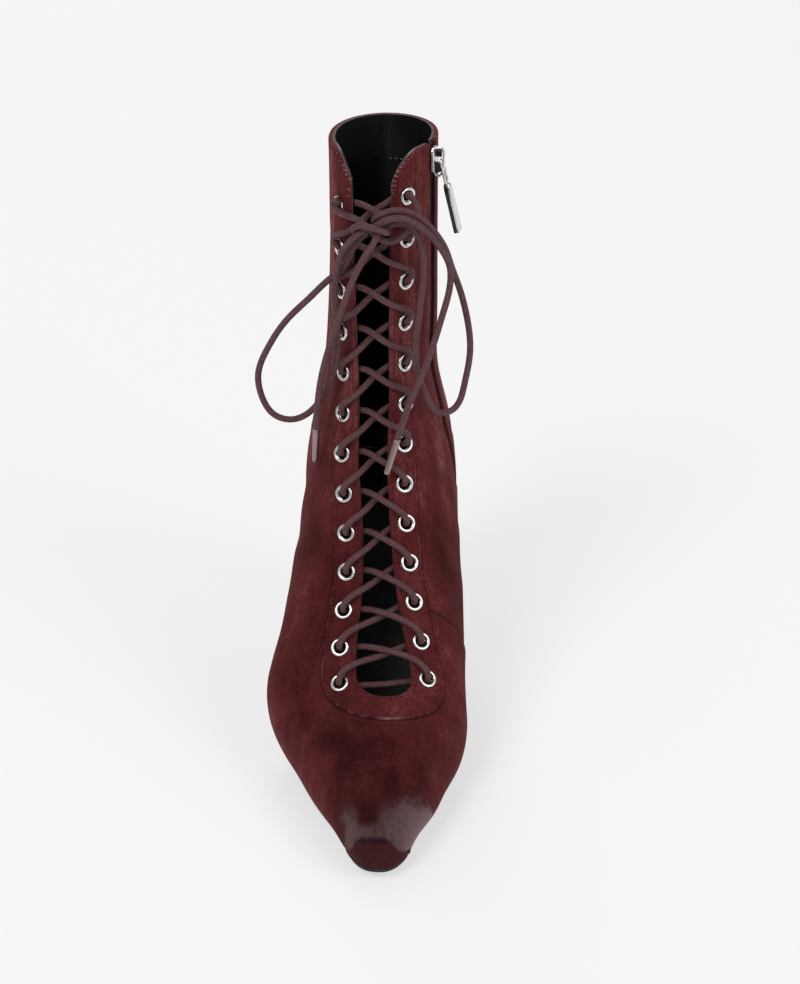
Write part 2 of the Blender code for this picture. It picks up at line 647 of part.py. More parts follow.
def cut_eyelet_holes(upper):
    """Cuts the holes that the eyelets' barrels pass through."""
    depth = 2 * (WALL + GAP)
    points, faces = [], []
    for _, _, centre, out, up in eyelet_places():
        start = len(points)
        for height in (-depth, depth):
            points += ring_points(centre, out, up, EYELET_HOLE + 2 * GAP, height, EYELET_SIDES)
        n = EYELET_SIDES
        faces += [[start + i, start + (i + 1) % n, start + n + (i + 1) % n, start + n + i] for i in range(n)]
        faces += [[start + i for i in reversed(range(n))], [start + n + i for i in range(n)]]
    mesh = mesh_of("eyelet_cutter", points, faces)
    repair = bmesh.new()
    repair.from_mesh(mesh)
    bmesh.ops.recalc_face_normals(repair, faces=repair.faces)
    repair.to_mesh(mesh)
    repair.free()
    cutter = bpy.data.objects.new("eyelet_cutter", mesh)
    bpy.context.scene.collection.objects.link(cutter)
    cutter.hide_render = True
    cutter.display_type = "WIRE"
    cut = upper.modifiers.new("eyelet_holes", "BOOLEAN")
    cut.operation = "DIFFERENCE"
    cut.object = cutter


def rest_height(surface, centre, out, up, radius):
    """How far a disc must stand off along its axis to clear the wall under it."""
    heights = [0]
    for reach in (0.75 * radius, radius):
        for start in ring_points(centre, out, up, reach, 3 * WALL, 2 * EYELET_SIDES):
            hit = surface.ray_cast(Vector(start), Vector(-out))[0]
            if hit is not None:
                heights.append(float(np.dot(np.array(hit) - centre, out)))
    return max(heights)


def build_eyelets(nickel, surface):
    """A flanged ring in each hole, its flange on the eyestay."""
    inner = EYELET_HOLE - 2 * GAP
    for k, side, centre, out, up in eyelet_places():
        name = f"eyelet_{'inner' if side > 0 else 'outer'}_{k + 1:02d}"
        face = rest_height(surface, centre, out, up, EYELET_RADIUS) + GAP / 2
        profile = (
            (inner + GAP, -WALL - GAP),
            (EYELET_HOLE, face),
            (EYELET_RADIUS, face),
            (EYELET_RADIUS - EYELET_FLANGE / 2, face + EYELET_FLANGE),
            (inner, face + EYELET_FLANGE * 0.6),
        )
        mesh = turned(name, centre, out, up, profile, EYELET_SIDES)
        face_out(mesh)
        add_object(name, mesh, nickel)


def face_out(mesh):
    repair = bmesh.new()
    repair.from_mesh(mesh)
    bmesh.ops.recalc_face_normals(repair, faces=repair.faces)
    repair.to_mesh(mesh)
    repair.free()


def sole_outline(inset):
    """The last's edge in plan, inset by a distance, from the seat by the inner side round to it again.

    Its corners stand where the upper's rim has its own, so that the two follow one line.
    """
    rim = upper_grid()[:, -1]
    rim = rim[rim[:, 0] < LAST.seat - 0.001]
    edge = LAST.point(rim[:, 0], rim[:, 1])[:, :2]
    loop = np.concatenate([[[0.0, TIP_SETBACK - float(LAST.edge(LAST.seat)[0])]], edge])
    ahead = np.roll(loop, -1, 0) - np.roll(loop, 1, 0)
    inward = np.stack([ahead[:, 1], -ahead[:, 0]], 1)
    inward /= np.linalg.norm(inward, axis=1, keepdims=True)
    if np.sum((loop.mean(0) - loop) * inward) < 0:
        inward = -inward
    return loop + inward * inset


def plate(name, loops_and_heights):
    """A flat or arched plate: stacked loops of one count, the first and last closed by strips across."""
    count = len(loops_and_heights[0])
    halves = count // 2
    points = np.concatenate(loops_and_heights)
    faces = []
    levels = len(loops_and_heights)
    for level in range(levels - 1):
        for i in range(count):
            j = (i + 1) % count
            a, b = level * count, (level + 1) * count
            faces.append([a + i, a + j, b + j, b + i])
    for level in (0, levels - 1):
        base = level * count
        for i in range(halves):
            near, far = base + i, base + (count - i) % count
            next_near, next_far = base + i + 1, base + (count - i - 1) % count
            faces.append(list(dict.fromkeys([near, next_near, next_far, far])))
    mesh = mesh_of(name, points, faces)
    face_out(mesh)
    return mesh


def at_height(loop, height):
    return np.column_stack([loop, height(loop[:, 1])])


def build_outsole(leather):
    """A thin leather sole with a bevelled lower edge, from the toe to the back of the heel seat."""
    wide, trimmed = sole_outline(SOLE_INSET), sole_outline(SOLE_INSET + SOLE_CHAMFER)
    top = at_height(wide, LAST.bed)
    low = at_height(wide, lambda y: LAST.bed(y) - SOLE + SOLE_CHAMFER)
    under = at_height(trimmed, lambda y: LAST.bed(y) - SOLE)
    add_object("outsole", plate("outsole", [top, low, under]), leather)


def build_insole(lining):
    """The insole lies on the sole inside the upper's wall."""
    loop = sole_outline(WALL + INSOLE_CLEAR)
    bottom = at_height(loop, lambda y: LAST.bed(y) + 2 * GAP)
    top = at_height(loop, lambda y: LAST.bed(y) + 2 * GAP + INSOLE)
    add_object("insole", plate("insole", [top, bottom]), lining)


def heel_loop(half_width, back, breast, count=20):
    """One level of the heel in plan: round at the back, flatter at the breast."""
    loop = []
    for i in range(count):
        turn = 2 * math.pi * (i + 0.5) / count
        cos, sin = math.cos(turn), math.sin(turn)
        if sin >= 0:
            loop.append((half_width * cos, back * sin))
            continue
        flat = 0.55
        loop.append((
            half_width * math.copysign(abs(cos) ** flat, cos),
            -breast * abs(sin) ** flat,
        ))
    return np.array(loop)


def build_heel(suede):
    """A slim covered heel that flares from its tip up to the seat."""
    low = TIP_THICK + GAP
    levels = []
    for share, half_width, back, breast in HEEL_ROWS:
        loop = heel_loop(half_width * SHAFT_WIDTH, back * SEAT_LENGTH, breast * SEAT_LENGTH)
        seat = LAST.bed(loop[:, 1]) - SOLE - GAP
        levels.append(np.column_stack([loop, low + (seat - low) * share]))
    count = len(levels[0])
    points = np.concatenate([*levels, [levels[-1].mean(0)]])
    points[-1, 2] = LAST.bed(points[-1, 1]) - SOLE - GAP
    faces = [list(range(count))]
    for level in range(len(levels) - 1):
        for i in range(count):
            j = (i + 1) % count
            a, b = level * count, (level + 1) * count
            faces.append([a + i, a + j, b + j, b + i])
    top = (len(levels) - 1) * count
    faces += [[top + i, top + (i + 1) % count, len(points) - 1] for i in range(count)]
    mesh = mesh_of("heel", points, faces)
    face_out(mesh)
    add_object("heel", mesh, suede)


def build_heel_tip(rubber):
    """The heel's wearing piece, flat on the floor."""
    _, half_width, back, breast = HEEL_ROWS[0]
    loop = heel_loop(half_width * SHAFT_WIDTH, back * SEAT_LENGTH, breast * SEAT_LENGTH)
    count = len(loop)
    points = np.concatenate([
        np.column_stack([loop, np.zeros(count)]), np.column_stack([loop, np.full(count, TIP_THICK)]),
    ])
    faces = [[i, (i + 1) % count, count + (i + 1) % count, count + i] for i in range(count)]
    faces += [list(range(count)), list(range(count, 2 * count))]
    mesh = mesh_of("heel_tip", points, faces)
    face_out(mesh)
    add_object("heel_tip", mesh, rubber)


def tube(name, path, radius, sides):
    """A round bar along a path, closed at both ends."""
    path = np.asarray(path, float)
    ahead = np.gradient(path, axis=0)
    ahead /= np.linalg.norm(ahead, axis=1, keepdims=True)
    side = np.cross(ahead[0], (0.31, 0.17, 0.93))
    points = []
    for centre, along in zip(path, ahead):
        side = side - along * np.dot(side, along)
        side = side / np.linalg.norm(side)
        other = np.cross(along, side)
        points += [
            centre + radius * (side * math.cos(t) + other * math.sin(t))
            for t in (2 * math.pi * (i + 0.5) / sides for i in range(sides))
        ]
    faces = []
    for ring in range(len(path) - 1):
        for i in range(sides):
            j = (i + 1) % sides
            a, b = ring * sides, (ring + 1) * sides
            faces.append([a + i, a + j, b + j, b + i])
    last = (len(path) - 1) * sides
    faces += [list(range(sides)), [last + i for i in range(sides)]]
    mesh = mesh_of(name, points, faces)
    face_out(mesh)
    return mesh


def smooth_path(points, step):
    """A smooth path through the points, its own points about a step apart."""
    points = np.asarray(points, float)
    length = np.concatenate([[0], np.cumsum(np.linalg.norm(np.diff(points, axis=0), axis=1))])
    count = max(int(round(length[-1] / step)), 2)
    return along_cubic(length, points, np.linspace(0, length[-1], count + 1))


def bow_path(rows):
    """A cord's table as a path in the boot's own frame."""
    step = LACE_STEP / 2 if rows is KNOT else LACE_STEP
    return smooth_path([(x * MM, -forward * MM, z * MM) for x, forward, z in rows], step)


def joined(first, second):
    """Joins the second object to the first as one solid."""
    second.hide_render = True
    second.display_type = "WIRE"
    join = first.modifiers.new("join", "BOOLEAN")
    join.operation = "UNION"
    join.object = second


def strand(k, side, places):
    """One side's run of the lace from its eyelet over the throat to the next eyelet of the other side."""
    clear = LACE / 2 + 1.7 * GAP
    over = EYESTAY_RAISE + clear
    start, finish = places[(k, side)], places[(k + 1, -side)]
    points = [start[0] + start[1] * (over + EYELET_FLANGE + 2.3 * GAP)]
    ways = ((start, finish, 0.28, over + 2 * GAP), (finish, start, 0.30, -WALL - clear - 1.5 * GAP))
    edges = []
    for near, far, share, height in ways:
        up_throat = (near[3] * (1 - share) + far[3] * share) - VAMP_LENGTH
        at = float(LAST.station(VAMP_LENGTH + up_throat))
        half = throat_half_width(max(up_throat, THROAT_ROUND)) / float(LAST.girth(at, near[4]))
        edges.append(LAST.point(at, near[4] * half) + LAST.normal(at, near[4] * half) * height)
    middle = (edges[0] + edges[1]) / 2
    lift = (start[1] + finish[1]) / 2
    middle = middle + lift / np.linalg.norm(lift) * side * 0.42 * LACE
    points += [edges[0], middle, edges[1]]
    points.append(finish[0] - finish[1] * (WALL + clear + 2 * GAP))
    return smooth_path(points, 0.83 * LACE_STEP)


def build_lacing(cord):
    """The lace's straight run behind the lowest eyelets, and its crossings, each one joined solid."""
    places = {}
    for k, side, centre, out, up in eyelet_places():
        places[(k, side)] = (centre, out, up, eyelet_length(k, side), side)
    below = WALL + LACE / 2 + 1.8 * GAP
    ends = [places[(0, side)][0] - places[(0, side)][1] * below for side in (1, -1)]
    sag = (ends[0] + ends[1]) / 2 - np.array([0, 0, GAP])
    bar = smooth_path([ends[0], sag, ends[1]], 0.8 * LACE_STEP)
    add_object("lace_bar", tube("lace_bar", bar, LACE / 2, LACE_SIDES), cord)
    for k in range(EYELET_PAIRS - 1):
        name = f"lace_cross_{k + 1:02d}"
        first = add_object(name, tube(name, strand(k, 1, places), LACE / 2, LACE_SIDES), cord)
        under = f"{name}_under"
        second = add_object(under, tube(under, strand(k, -1, places), LACE / 2, LACE_SIDES), cord)
        joined(first, second)


def build_bow(cord, metal):
    """The knot, the two loops and the two free ends with their tips."""
    for name, rows in (
        ("lace_knot", KNOT), ("lace_loop_inner", LOOP_INNER), ("lace_loop_outer", LOOP_OUTER),
        ("lace_end_inner", END_INNER), ("lace_end_outer", END_OUTER),
    ):
        add_object(name, tube(name, bow_path(rows), LACE / 2, LACE_SIDES), cord)
    for name, rows in (("aglet_inner", END_INNER), ("aglet_outer", END_OUTER)):
        path = bow_path(rows)
        ahead = path[-1] - path[-2]
        ahead /= np.linalg.norm(ahead)
        ends = [path[-1] + ahead * GAP, path[-1] + ahead * (GAP + AGLET_LENGTH)]
        add_object(name, tube(name, ends, AGLET_RADIUS, 8), metal)


def zip_spot(at, along_girth=0.0, height=0.0):
    """A point beside the zip's middle line, measured along the girth and out from the last."""
    share = zip_way(at) + along_girth / float(LAST.girth(at, 1))
    return LAST.point(at, share) + LAST.normal(at, share) * height


def build_zip(nylon, metal):
    """The zip's tapes inside the wall with the closed teeth in the slot, its slider and its pull."""
    stations = side_stations()[:CORNER_LINES + SHAFT_LINES]
    top = float(LAST.station(LAST.ridge_length[-1] - ZIP_TOP))
    end = stations[-1]
    lines = [top, *[at for at in stations if end + 0.002 < at < top - 0.002], end + 0.0006]
    half, teeth = ZIP_TAPE_WIDTH / 2, ZIP_GAP / 2 - GAP
    inside = -WALL - 1.6 * GAP
    profile = (
        (-half, inside), (-half / 2, inside), (-teeth, inside), (-teeth, 0), (teeth, 0), (teeth, inside),
        (half / 2, inside), (half, inside), (half, inside - ZIP_TAPE), (half / 2, inside - ZIP_TAPE),
        (teeth, inside - ZIP_TAPE), (-teeth, inside - ZIP_TAPE), (-half / 2, inside - ZIP_TAPE),
        (-half, inside - ZIP_TAPE),
    )
    n = len(profile)
    points = [zip_spot(at, *spot) for at in lines for spot in profile]
    faces = []
    for row in range(len(lines) - 1):
        for i in range(n):
            j = (i + 1) % n
            faces.append([row * n + i, row * n + j, (row + 1) * n + j, (row + 1) * n + i])
    end_faces = ((0, 1, 12, 13), (1, 2, 11, 12), (2, 3, 4, 5), (2, 5, 10, 11), (5, 6, 9, 10), (6, 7, 8, 9))
    for base in (0, (len(lines) - 1) * n):
        faces += [[base + i for i in corners] for corners in end_faces]
    mesh = mesh_of("zip_strip", points, faces)
    face_out(mesh)
    add_object("zip_strip", mesh, nylon)
    build_slider(metal)


def slider_frame():
    """Centre of the slider's footprint on the last, and its across, up and out directions."""
    at = float(LAST.station(LAST.ridge_length[-1] - SLIDER_DROP))
    centre, out = zip_spot(at), LAST.normal(at, zip_way(at))
    up = zip_spot(at + 2 * MM) - zip_spot(at - 2 * MM)
    up -= out * np.dot(up, out)
    up /= np.linalg.norm(up)
    return centre, np.cross(up, out), up, out


def slab(name, grid_a, grid_b, depth, present, origin, axes):
    """A flat piece with openings: cells of a small grid, given a depth about its middle."""
    first, second, third = axes
    rows = [[origin + first * a + second * b for b in grid_b] for a in grid_a]
    middle = np.array(rows)
    half = np.broadcast_to(np.asarray(depth, float), (len(grid_a), len(grid_b)))[..., None] / 2
    mesh = shell(name, middle + third * half, middle - third * half, np.array(present, bool))
    face_out(mesh)
    return mesh


def build_slider(metal):
    centre, across, up, out = slider_frame()
    low, high = 1.2 * GAP, 1.2 * GAP + SLIDER_THICK
    right = [(0.32, -0.5), (0.5, -0.1), (0.5, 0.42), (0.4, 0.5)]
    outline = right + [(-a, b) for a, b in reversed(right)]
    points = []
    for height, grow in ((low, 1), (high - 0.2 * SLIDER_THICK, 1), (high, 0.84)):
        for a, b in outline:
            flat = centre + across * a * SLIDER_WIDTH * grow + up * b * SLIDER_LENGTH * grow
            points.append(flat + out * height)
    n = len(outline)
    faces = [list(range(n)), [2 * n + i for i in range(n)]]
    for level in range(2):
        for i in range(n):
            j = (i + 1) % n
            faces.append([level * n + i, level * n + j, (level + 1) * n + j, (level + 1) * n + i])
    mesh = mesh_of("zip_slider", points, faces)
    face_out(mesh)
    slider = add_object("zip_slider", mesh, metal)
    bar, eye = LUG_BAR, LUG_EYE
    heights = (-0.15 * SLIDER_THICK, bar * 0.6, bar * 0.6 + eye, bar * 1.6 + eye)
    reach = (-eye / 2 - bar, -eye / 2, eye / 2, eye / 2 + bar)
    present = ((1, 1, 1), (1, 0, 1), (1, 1, 1))
    lug = slab("zip_lug", heights, reach, LUG_WIDTH, present, centre + out * high, (out, up, across))
    joined(slider, add_object("zip_lug", lug, metal))
    build_pull(metal, centre + out * (high + bar * 0.6 + eye / 2), across, up, out)


def build_pull(metal, hinge, across, up, out):
    """The pull's wire link goes through the lug's eye, and its flat tab hangs from it."""
    down = -up * math.cos(PULL_LEAN) + out * math.sin(PULL_LEAN)
    facing = np.cross(across, down)
    wire, inner = PULL_WIRE, LUG_WIDTH / 2 + 0.64 * PULL_WIRE
    link = PULL_LENGTH - PULL_TAB_LENGTH
    along = (-wire / 2, wire / 2, link - wire, link, link + 0.7 * PULL_WIRE, PULL_LENGTH)
    sideways = (-inner - wire, -inner, inner, inner + wire)
    depth = np.array([wire, wire, wire, wire, PULL_THICK, PULL_THICK])[:, None]
    present = ((1, 1, 1), (1, 0, 1), (1, 1, 1), (1, 1, 1), (1, 1, 1))
    mesh = slab("zip_pull", along, sideways, depth, present, hinge, (down, across, facing))
    add_object("zip_pull", mesh, metal)


def main():
    for old in list(bpy.data.objects):
        bpy.data.objects.remove(old)
    suede = material("suede", (0.115, 0.022, 0.025), 0.95)
    leather = material("sole_leather", (0.02, 0.018, 0.017), 0.5)
    lining = material("lining", (0.01, 0.01, 0.011), 0.45)
    rubber = material("tip_rubber", (0.015, 0.014, 0.014), 0.7)
    cord = material("lace_cord", (0.10, 0.055, 0.062), 0.6)
    nylon = material("zip_tape", (0.02, 0.008, 0.010), 0.7)
    nickel = material("nickel", (0.75, 0.74, 0.72), 0.22, 1.0)
    wall = build_upper(suede)
    build_outsole(leather)
    build_insole(lining)
    build_heel(suede)
    build_heel_tip(rubber)
    build_eyelets(nickel, wall)
    build_lacing(cord)
    build_bow(cord, nickel)
    build_zip(nylon, nickel)


main()
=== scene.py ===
# %% [markdown]
# This is a lace-up ankle boot for the right foot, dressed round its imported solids.
# The solids hold every size and place. Each cell below makes one piece or one finish of the boot
# in the same frame: metres, +Z up, the toe towards -Y and the inner side of the foot towards +X.

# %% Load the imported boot
import math
from functools import lru_cache

import bpy
import numpy as np
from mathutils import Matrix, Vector


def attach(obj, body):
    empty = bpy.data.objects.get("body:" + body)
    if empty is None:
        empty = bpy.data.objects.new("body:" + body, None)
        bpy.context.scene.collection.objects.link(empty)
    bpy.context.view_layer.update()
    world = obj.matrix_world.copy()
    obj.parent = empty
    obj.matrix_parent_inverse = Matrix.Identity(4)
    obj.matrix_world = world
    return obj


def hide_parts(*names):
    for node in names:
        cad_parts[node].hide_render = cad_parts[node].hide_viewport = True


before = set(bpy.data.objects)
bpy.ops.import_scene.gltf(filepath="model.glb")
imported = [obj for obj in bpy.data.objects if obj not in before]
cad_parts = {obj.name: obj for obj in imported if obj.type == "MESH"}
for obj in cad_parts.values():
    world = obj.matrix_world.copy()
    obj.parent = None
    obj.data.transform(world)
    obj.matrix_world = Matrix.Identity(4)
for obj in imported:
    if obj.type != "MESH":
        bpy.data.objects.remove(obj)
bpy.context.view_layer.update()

MM = 0.001

# %% [markdown]
# The camera looks at the boot from the front and well above, as a shop picture does. A long lens keeps
# the toe from looking too big. The place was found by laying the solids' outline over the picture.

# %% Place the camera
CAMERA_TARGET = Vector((0.008, -0.095, 0.115))
CAMERA_AZIMUTH = math.radians(4)
CAMERA_ELEVATION = math.radians(28)
CAMERA_DISTANCE = 1.4
CAMERA_LENS = 114.5
FRAME_SIZE = (800, 984)
TARGET_PIXEL = (393, 497)

camera = bpy.data.objects.new("camera", bpy.data.cameras.new("camera"))
bpy.context.scene.collection.objects.link(camera)
back = Vector((
    math.sin(CAMERA_AZIMUTH) * math.cos(CAMERA_ELEVATION),
    -math.cos(CAMERA_AZIMUTH) * math.cos(CAMERA_ELEVATION),
    math.sin(CAMERA_ELEVATION),
))
camera.location = CAMERA_TARGET + back * CAMERA_DISTANCE
camera.rotation_euler = (-back).to_track_quat("-Z", "Y").to_euler()
camera.data.lens = CAMERA_LENS
camera.data.shift_x = (FRAME_SIZE[0] / 2 - TARGET_PIXEL[0]) / max(FRAME_SIZE)
camera.data.shift_y = (TARGET_PIXEL[1] - FRAME_SIZE[1] / 2) / max(FRAME_SIZE)
bpy.context.scene.camera = camera
print("camera at", [round(x, 3) for x in camera.location])

# %% [markdown]
# Node trees, for materials and for repeated pieces alike, are built by one helper: it adds a node,
# sets its settings and fills each input with a value or with another node's output.

# %% Helpers that add nodes


def add(tree, kind, wires=None, **settings):
    """One node of a tree. Each wire is a value or another node's output socket."""
    node = tree.nodes.new(kind)
    for key, value in settings.items():
        setattr(node, key, value)
    for socket, source in (wires or {}).items():
        if isinstance(source, bpy.types.NodeSocket):
            tree.links.new(source, node.inputs[socket])
        else:
            node.inputs[socket].default_value = source
    return node


def math_node(tree, operation, first, second=0.0):
    return add(tree, "ShaderNodeMath", {0: first, 1: second}, operation=operation).outputs[0]


def ramp(tree, value, low, high):
    """A smooth step from 0 at low to 1 at high."""
    node = add(tree, "ShaderNodeMapRange", {"Value": value, "From Min": low, "From Max": high})
    node.interpolation_type = "SMOOTHSTEP"
    return node.outputs["Result"]


def fall(tree, value, low, high):
    """A smooth step from 1 at low to 0 at high."""
    return math_node(tree, "SUBTRACT", 1.0, ramp(tree, value, low, high))


print("node helpers ready")

# %% [markdown]
# A material is a node tree as well. These helpers mix two colours, open a shader node group with named
# inputs and outputs, and start a material. Its constant numbers are set on the shader's own sockets,
# where an exporter can read them.

# %% Helpers for colours, groups and materials


def mix_colour(tree, factor, first, second):
    """Mixes two colours, each a socket or three numbers."""
    node = tree.nodes.new("ShaderNodeMix")
    node.data_type = "RGBA"
    for socket, source in ((0, factor), (6, first), (7, second)):
        if isinstance(source, bpy.types.NodeSocket):
            tree.links.new(source, node.inputs[socket])
        else:
            node.inputs[socket].default_value = source if socket == 0 else (*source, 1)
    return node.outputs[2]


def new_group(name, inputs, outputs):
    """An empty shader node group with named inputs and outputs, and its two end nodes."""
    group = bpy.data.node_groups.new(name, "ShaderNodeTree")
    for label, kind, value in inputs:
        group.interface.new_socket(label, in_out="INPUT", socket_type=kind).default_value = value
    for label, kind in outputs:
        group.interface.new_socket(label, in_out="OUTPUT", socket_type=kind)
    return group, group.nodes.new("NodeGroupInput").outputs, group.nodes.new("NodeGroupOutput").inputs


def new_material(name, roughness, metallic=0.0, **fixed):
    """A material with one Principled shader, whose constant numbers are set on its own sockets."""
    made = bpy.data.materials.new(name)
    made.use_nodes = True
    shader = made.node_tree.nodes["Principled BSDF"]
    shader.inputs["Roughness"].default_value = roughness
    shader.inputs["Metallic"].default_value = metallic
    for label, value in fixed.items():
        shader.inputs[label.replace("_", " ")].default_value = value
    return made, made.node_tree, shader.inputs


FLOAT, VECTOR = "NodeSocketFloat", "NodeSocketVector"
print("material helpers ready")

# %% [markdown]
# The lace is one waxed round cord of 2.9 mm. Its bow hangs free, so its route is a given list of points, read
# from a smooth curve. The free runs are the knot, two loops and two ends, and each starts in the same place as
# its solid. A mesh tube is used rather than a bevelled curve, because the tube can carry its own UV map, and
# the braid of the cord is then drawn along it.

# %% The routes of the bow
LACE = 0.0029
LACE_POINT_STEP = 0.0009
LACE_SIDES = 14
AGLET_LENGTH = 0.0170
GAP = 0.0003

# Millimetres across to the inner side, forward of the heel's middle, and up
BOW = {
    "lace_knot": (
        (-16.4, 79, 251), (-19.4, 76.5, 248.1), (-17.3, 79, 245.9), (-12.1, 84, 245.6), (-6.9, 88, 245.1),
        (-3.2, 90, 243), (0.8, 90, 238.7), (6.7, 89, 236.4), (11.8, 88, 238.8), (15.7, 87, 244.1),
        (17.7, 85, 249.3), (16.6, 83.5, 252.9), (13.6, 80, 254.6),
    ),
    "lace_loop_inner": (
        (-6.8, 90, 239.1), (-9.2, 92, 242.9), (-7.2, 95, 245.7), (-1.5, 97, 246.1), (4, 96, 243.9),
        (5.5, 93, 242.4), (3.6, 90, 243.3), (-0.4, 90, 246.1), (1.4, 93, 249.6), (5.4, 94, 252.2),
        (9.4, 94, 253), (17.3, 93, 250.9), (23.5, 91, 244.7), (29.5, 87, 234), (32.5, 81, 222), (36, 76, 209),
        (40, 78, 193), (41, 80, 180.5), (39, 84.5, 167.5), (34, 90, 157), (28, 93, 157), (22.5, 93, 165),
        (18, 91.5, 178), (18, 90, 194), (20, 88.5, 212), (20.6, 88, 229), (19.4, 89, 237.3), (17.1, 90, 242.8),
        (13.2, 91, 246.1), (7.6, 91, 245.3), (2.8, 90, 242.4),
    ),
    "lace_loop_outer": (
        (-1.1, 92, 243.1), (-5.4, 93, 242.1), (-10.7, 92, 237.2), (-14.9, 90, 229.7), (-17, 88.5, 220.1),
        (-18, 87, 212), (-17.5, 86.5, 198), (-17, 87, 186), (-18.5, 86.5, 174), (-23, 85, 161.5),
        (-29.5, 83.5, 151), (-38, 82.5, 146), (-46, 81.5, 147.5), (-52, 80, 156.5), (-53, 80, 168),
        (-49, 80, 179), (-40, 81, 194), (-29, 83, 206.5), (-20.3, 84, 215.9), (-15.9, 84.5, 220),
        (-11.7, 87, 227.4), (-7.6, 90, 236.6), (-3.1, 91, 241.3),
    ),
    "lace_end_inner": (
        (-1.8, 93, 243.1), (1.6, 95, 246.9), (7.2, 97, 250.4), (13.6, 97, 250.4), (20.6, 95, 245.7),
        (25.2, 92, 239.6), (28.5, 91, 234.5), (32, 89, 226), (32, 88.5, 214), (29.5, 91, 204), (25.5, 94, 190),
        (21, 96.5, 177), (16, 98.5, 165), (10.5, 102, 148),
    ),
    "lace_end_outer": (
        (1.4, 93, 242.3), (0, 95.5, 239), (-2.8, 95.5, 234.2), (-6.5, 95, 227), (-10.2, 94, 218.1),
        (-15.5, 93.5, 202), (-19.5, 92.5, 189), (-23, 91, 176), (-25.5, 90.5, 161), (-26.5, 90, 146),
    ),
}
print({name: len(route) for name, route in BOW.items()})

# %% [markdown]
# Lace and leather bend smoothly. Straight runs between listed points would show, so a natural cubic passes
# through all of them. It also serves the last's table of sections further down.

# %% Smooth curves through a few points


def natural_bend(knots, rows):
    """Second derivatives of the natural cubic that passes through every row."""
    steps = np.diff(knots)
    system = np.eye(len(knots))
    right = np.zeros_like(rows)
    for i in range(1, len(knots) - 1):
        before, after = steps[i - 1], steps[i]
        system[i, i - 1:i + 2] = before, 2 * (before + after), after
        right[i] = 6 * ((rows[i + 1] - rows[i]) / after - (rows[i] - rows[i - 1]) / before)
    return np.linalg.solve(system, right)


def along_cubic(knots, rows, at):
    """The natural cubic through the rows, read at each value of at."""
    knots, rows, at = np.asarray(knots, float), np.asarray(rows, float), np.asarray(at, float)
    bend = natural_bend(knots, rows)
    i = np.clip(np.searchsorted(knots, at, side="right") - 1, 0, len(knots) - 2)
    step = knots[i + 1] - knots[i]
    after = ((at - knots[i]) / step)[..., None]
    before = 1 - after
    sag = (before ** 3 - before) * bend[i] + (after ** 3 - after) * bend[i + 1]
    return before * rows[i] + after * rows[i + 1] + sag * (step ** 2)[..., None] / 6


def way_along(points):
    """Distance along a line at each of its points."""
    return np.concatenate([[0], np.cumsum(np.linalg.norm(np.diff(points, axis=0), axis=1))])


def smooth_path(points, step):
    """A smooth path through the points, its own points about a step apart."""
    points = np.asarray(points, float)
    length = way_along(points)
    count = max(int(round(length[-1] / step)), 2)
    return along_cubic(length, points, np.linspace(0, length[-1], count + 1))


def unit(v):
    v = np.asarray(v, float)
    return v / np.linalg.norm(v, axis=-1, keepdims=True)


print("curve helpers ready")

# %% [markdown]
# Pieces worked out from numbers become plain meshes at the origin. A cord is a tube of rings along its
# path. Each ring is turned as little as possible from the one before, so the cord never twists by itself.

# %% Plain meshes and round cords


def new_object(name, points, faces, material, uv=None, angle=40):
    """A mesh object at the origin. uv has a pair for each corner of each face, in order."""
    mesh = bpy.data.meshes.new(name)
    mesh.from_pydata(np.asarray(points, float).tolist(), [], [list(map(int, f)) for f in faces])
    if uv is not None:
        mesh.uv_layers.new(name="UVMap").data.foreach_set("uv", np.asarray(uv, np.float32).ravel())
    mesh.materials.append(material)
    mesh.shade_smooth()
    mesh.set_sharp_from_angle(angle=math.radians(angle))
    mesh.update()
    made = bpy.data.objects.new(name, mesh)
    bpy.context.scene.collection.objects.link(made)
    return made


def tube(name, path, radius, material, sides=LACE_SIDES):
    """A round cord along a path, closed at both ends. Its UV map counts turns and diameters."""
    path = np.asarray(path, float)
    radius = np.broadcast_to(np.asarray(radius, float), len(path))
    ahead = unit(np.gradient(path, axis=0))
    length = way_along(path) / (2 * radius.max())
    side = np.cross(ahead[0], (0.31, 0.17, 0.93))
    points = []
    turns = 2 * np.pi * np.arange(sides) / sides
    for centre, along, r in zip(path, ahead, radius):
        side = unit(side - along * np.dot(side, along))
        other = np.cross(along, side)
        points.append(centre + r * (np.outer(np.cos(turns), side) + np.outer(np.sin(turns), other)))
    faces, uv = [], []
    for ring in range(len(path) - 1):
        for i in range(sides):
            j = (i + 1) % sides
            a, b = ring * sides, (ring + 1) * sides
            faces.append((a + i, a + j, b + j, b + i))
            uv += [(i / sides, length[ring]), ((i + 1) / sides, length[ring])]
            uv += [((i + 1) / sides, length[ring + 1]), (i / sides, length[ring + 1])]
    last = (len(path) - 1) * sides
    for end, at in (([*reversed(range(sides))], 0), ([last + i for i in range(sides)], -1)):
        faces.append(end)
        uv += [(i / sides, length[at]) for i in range(sides)]
    return new_object(name, np.concatenate(points), faces, material, uv, angle=70)


def bow_path(name, step=LACE_POINT_STEP):
    return smooth_path([(x * MM, -forward * MM, z * MM) for x, forward, z in BOW[name]], step)


print({name: f"{way_along(bow_path(name))[-1]:.3f} m" for name in BOW})

# %% [markdown]
# Soft patches and fine grain repeat on several materials, so each is a shader node group with named
# inputs. They could be copied into every material, but a group is changed in one place. A group only
# puts out what varies over the surface. The shader itself stays in each material.

# %% Shader groups that the materials share


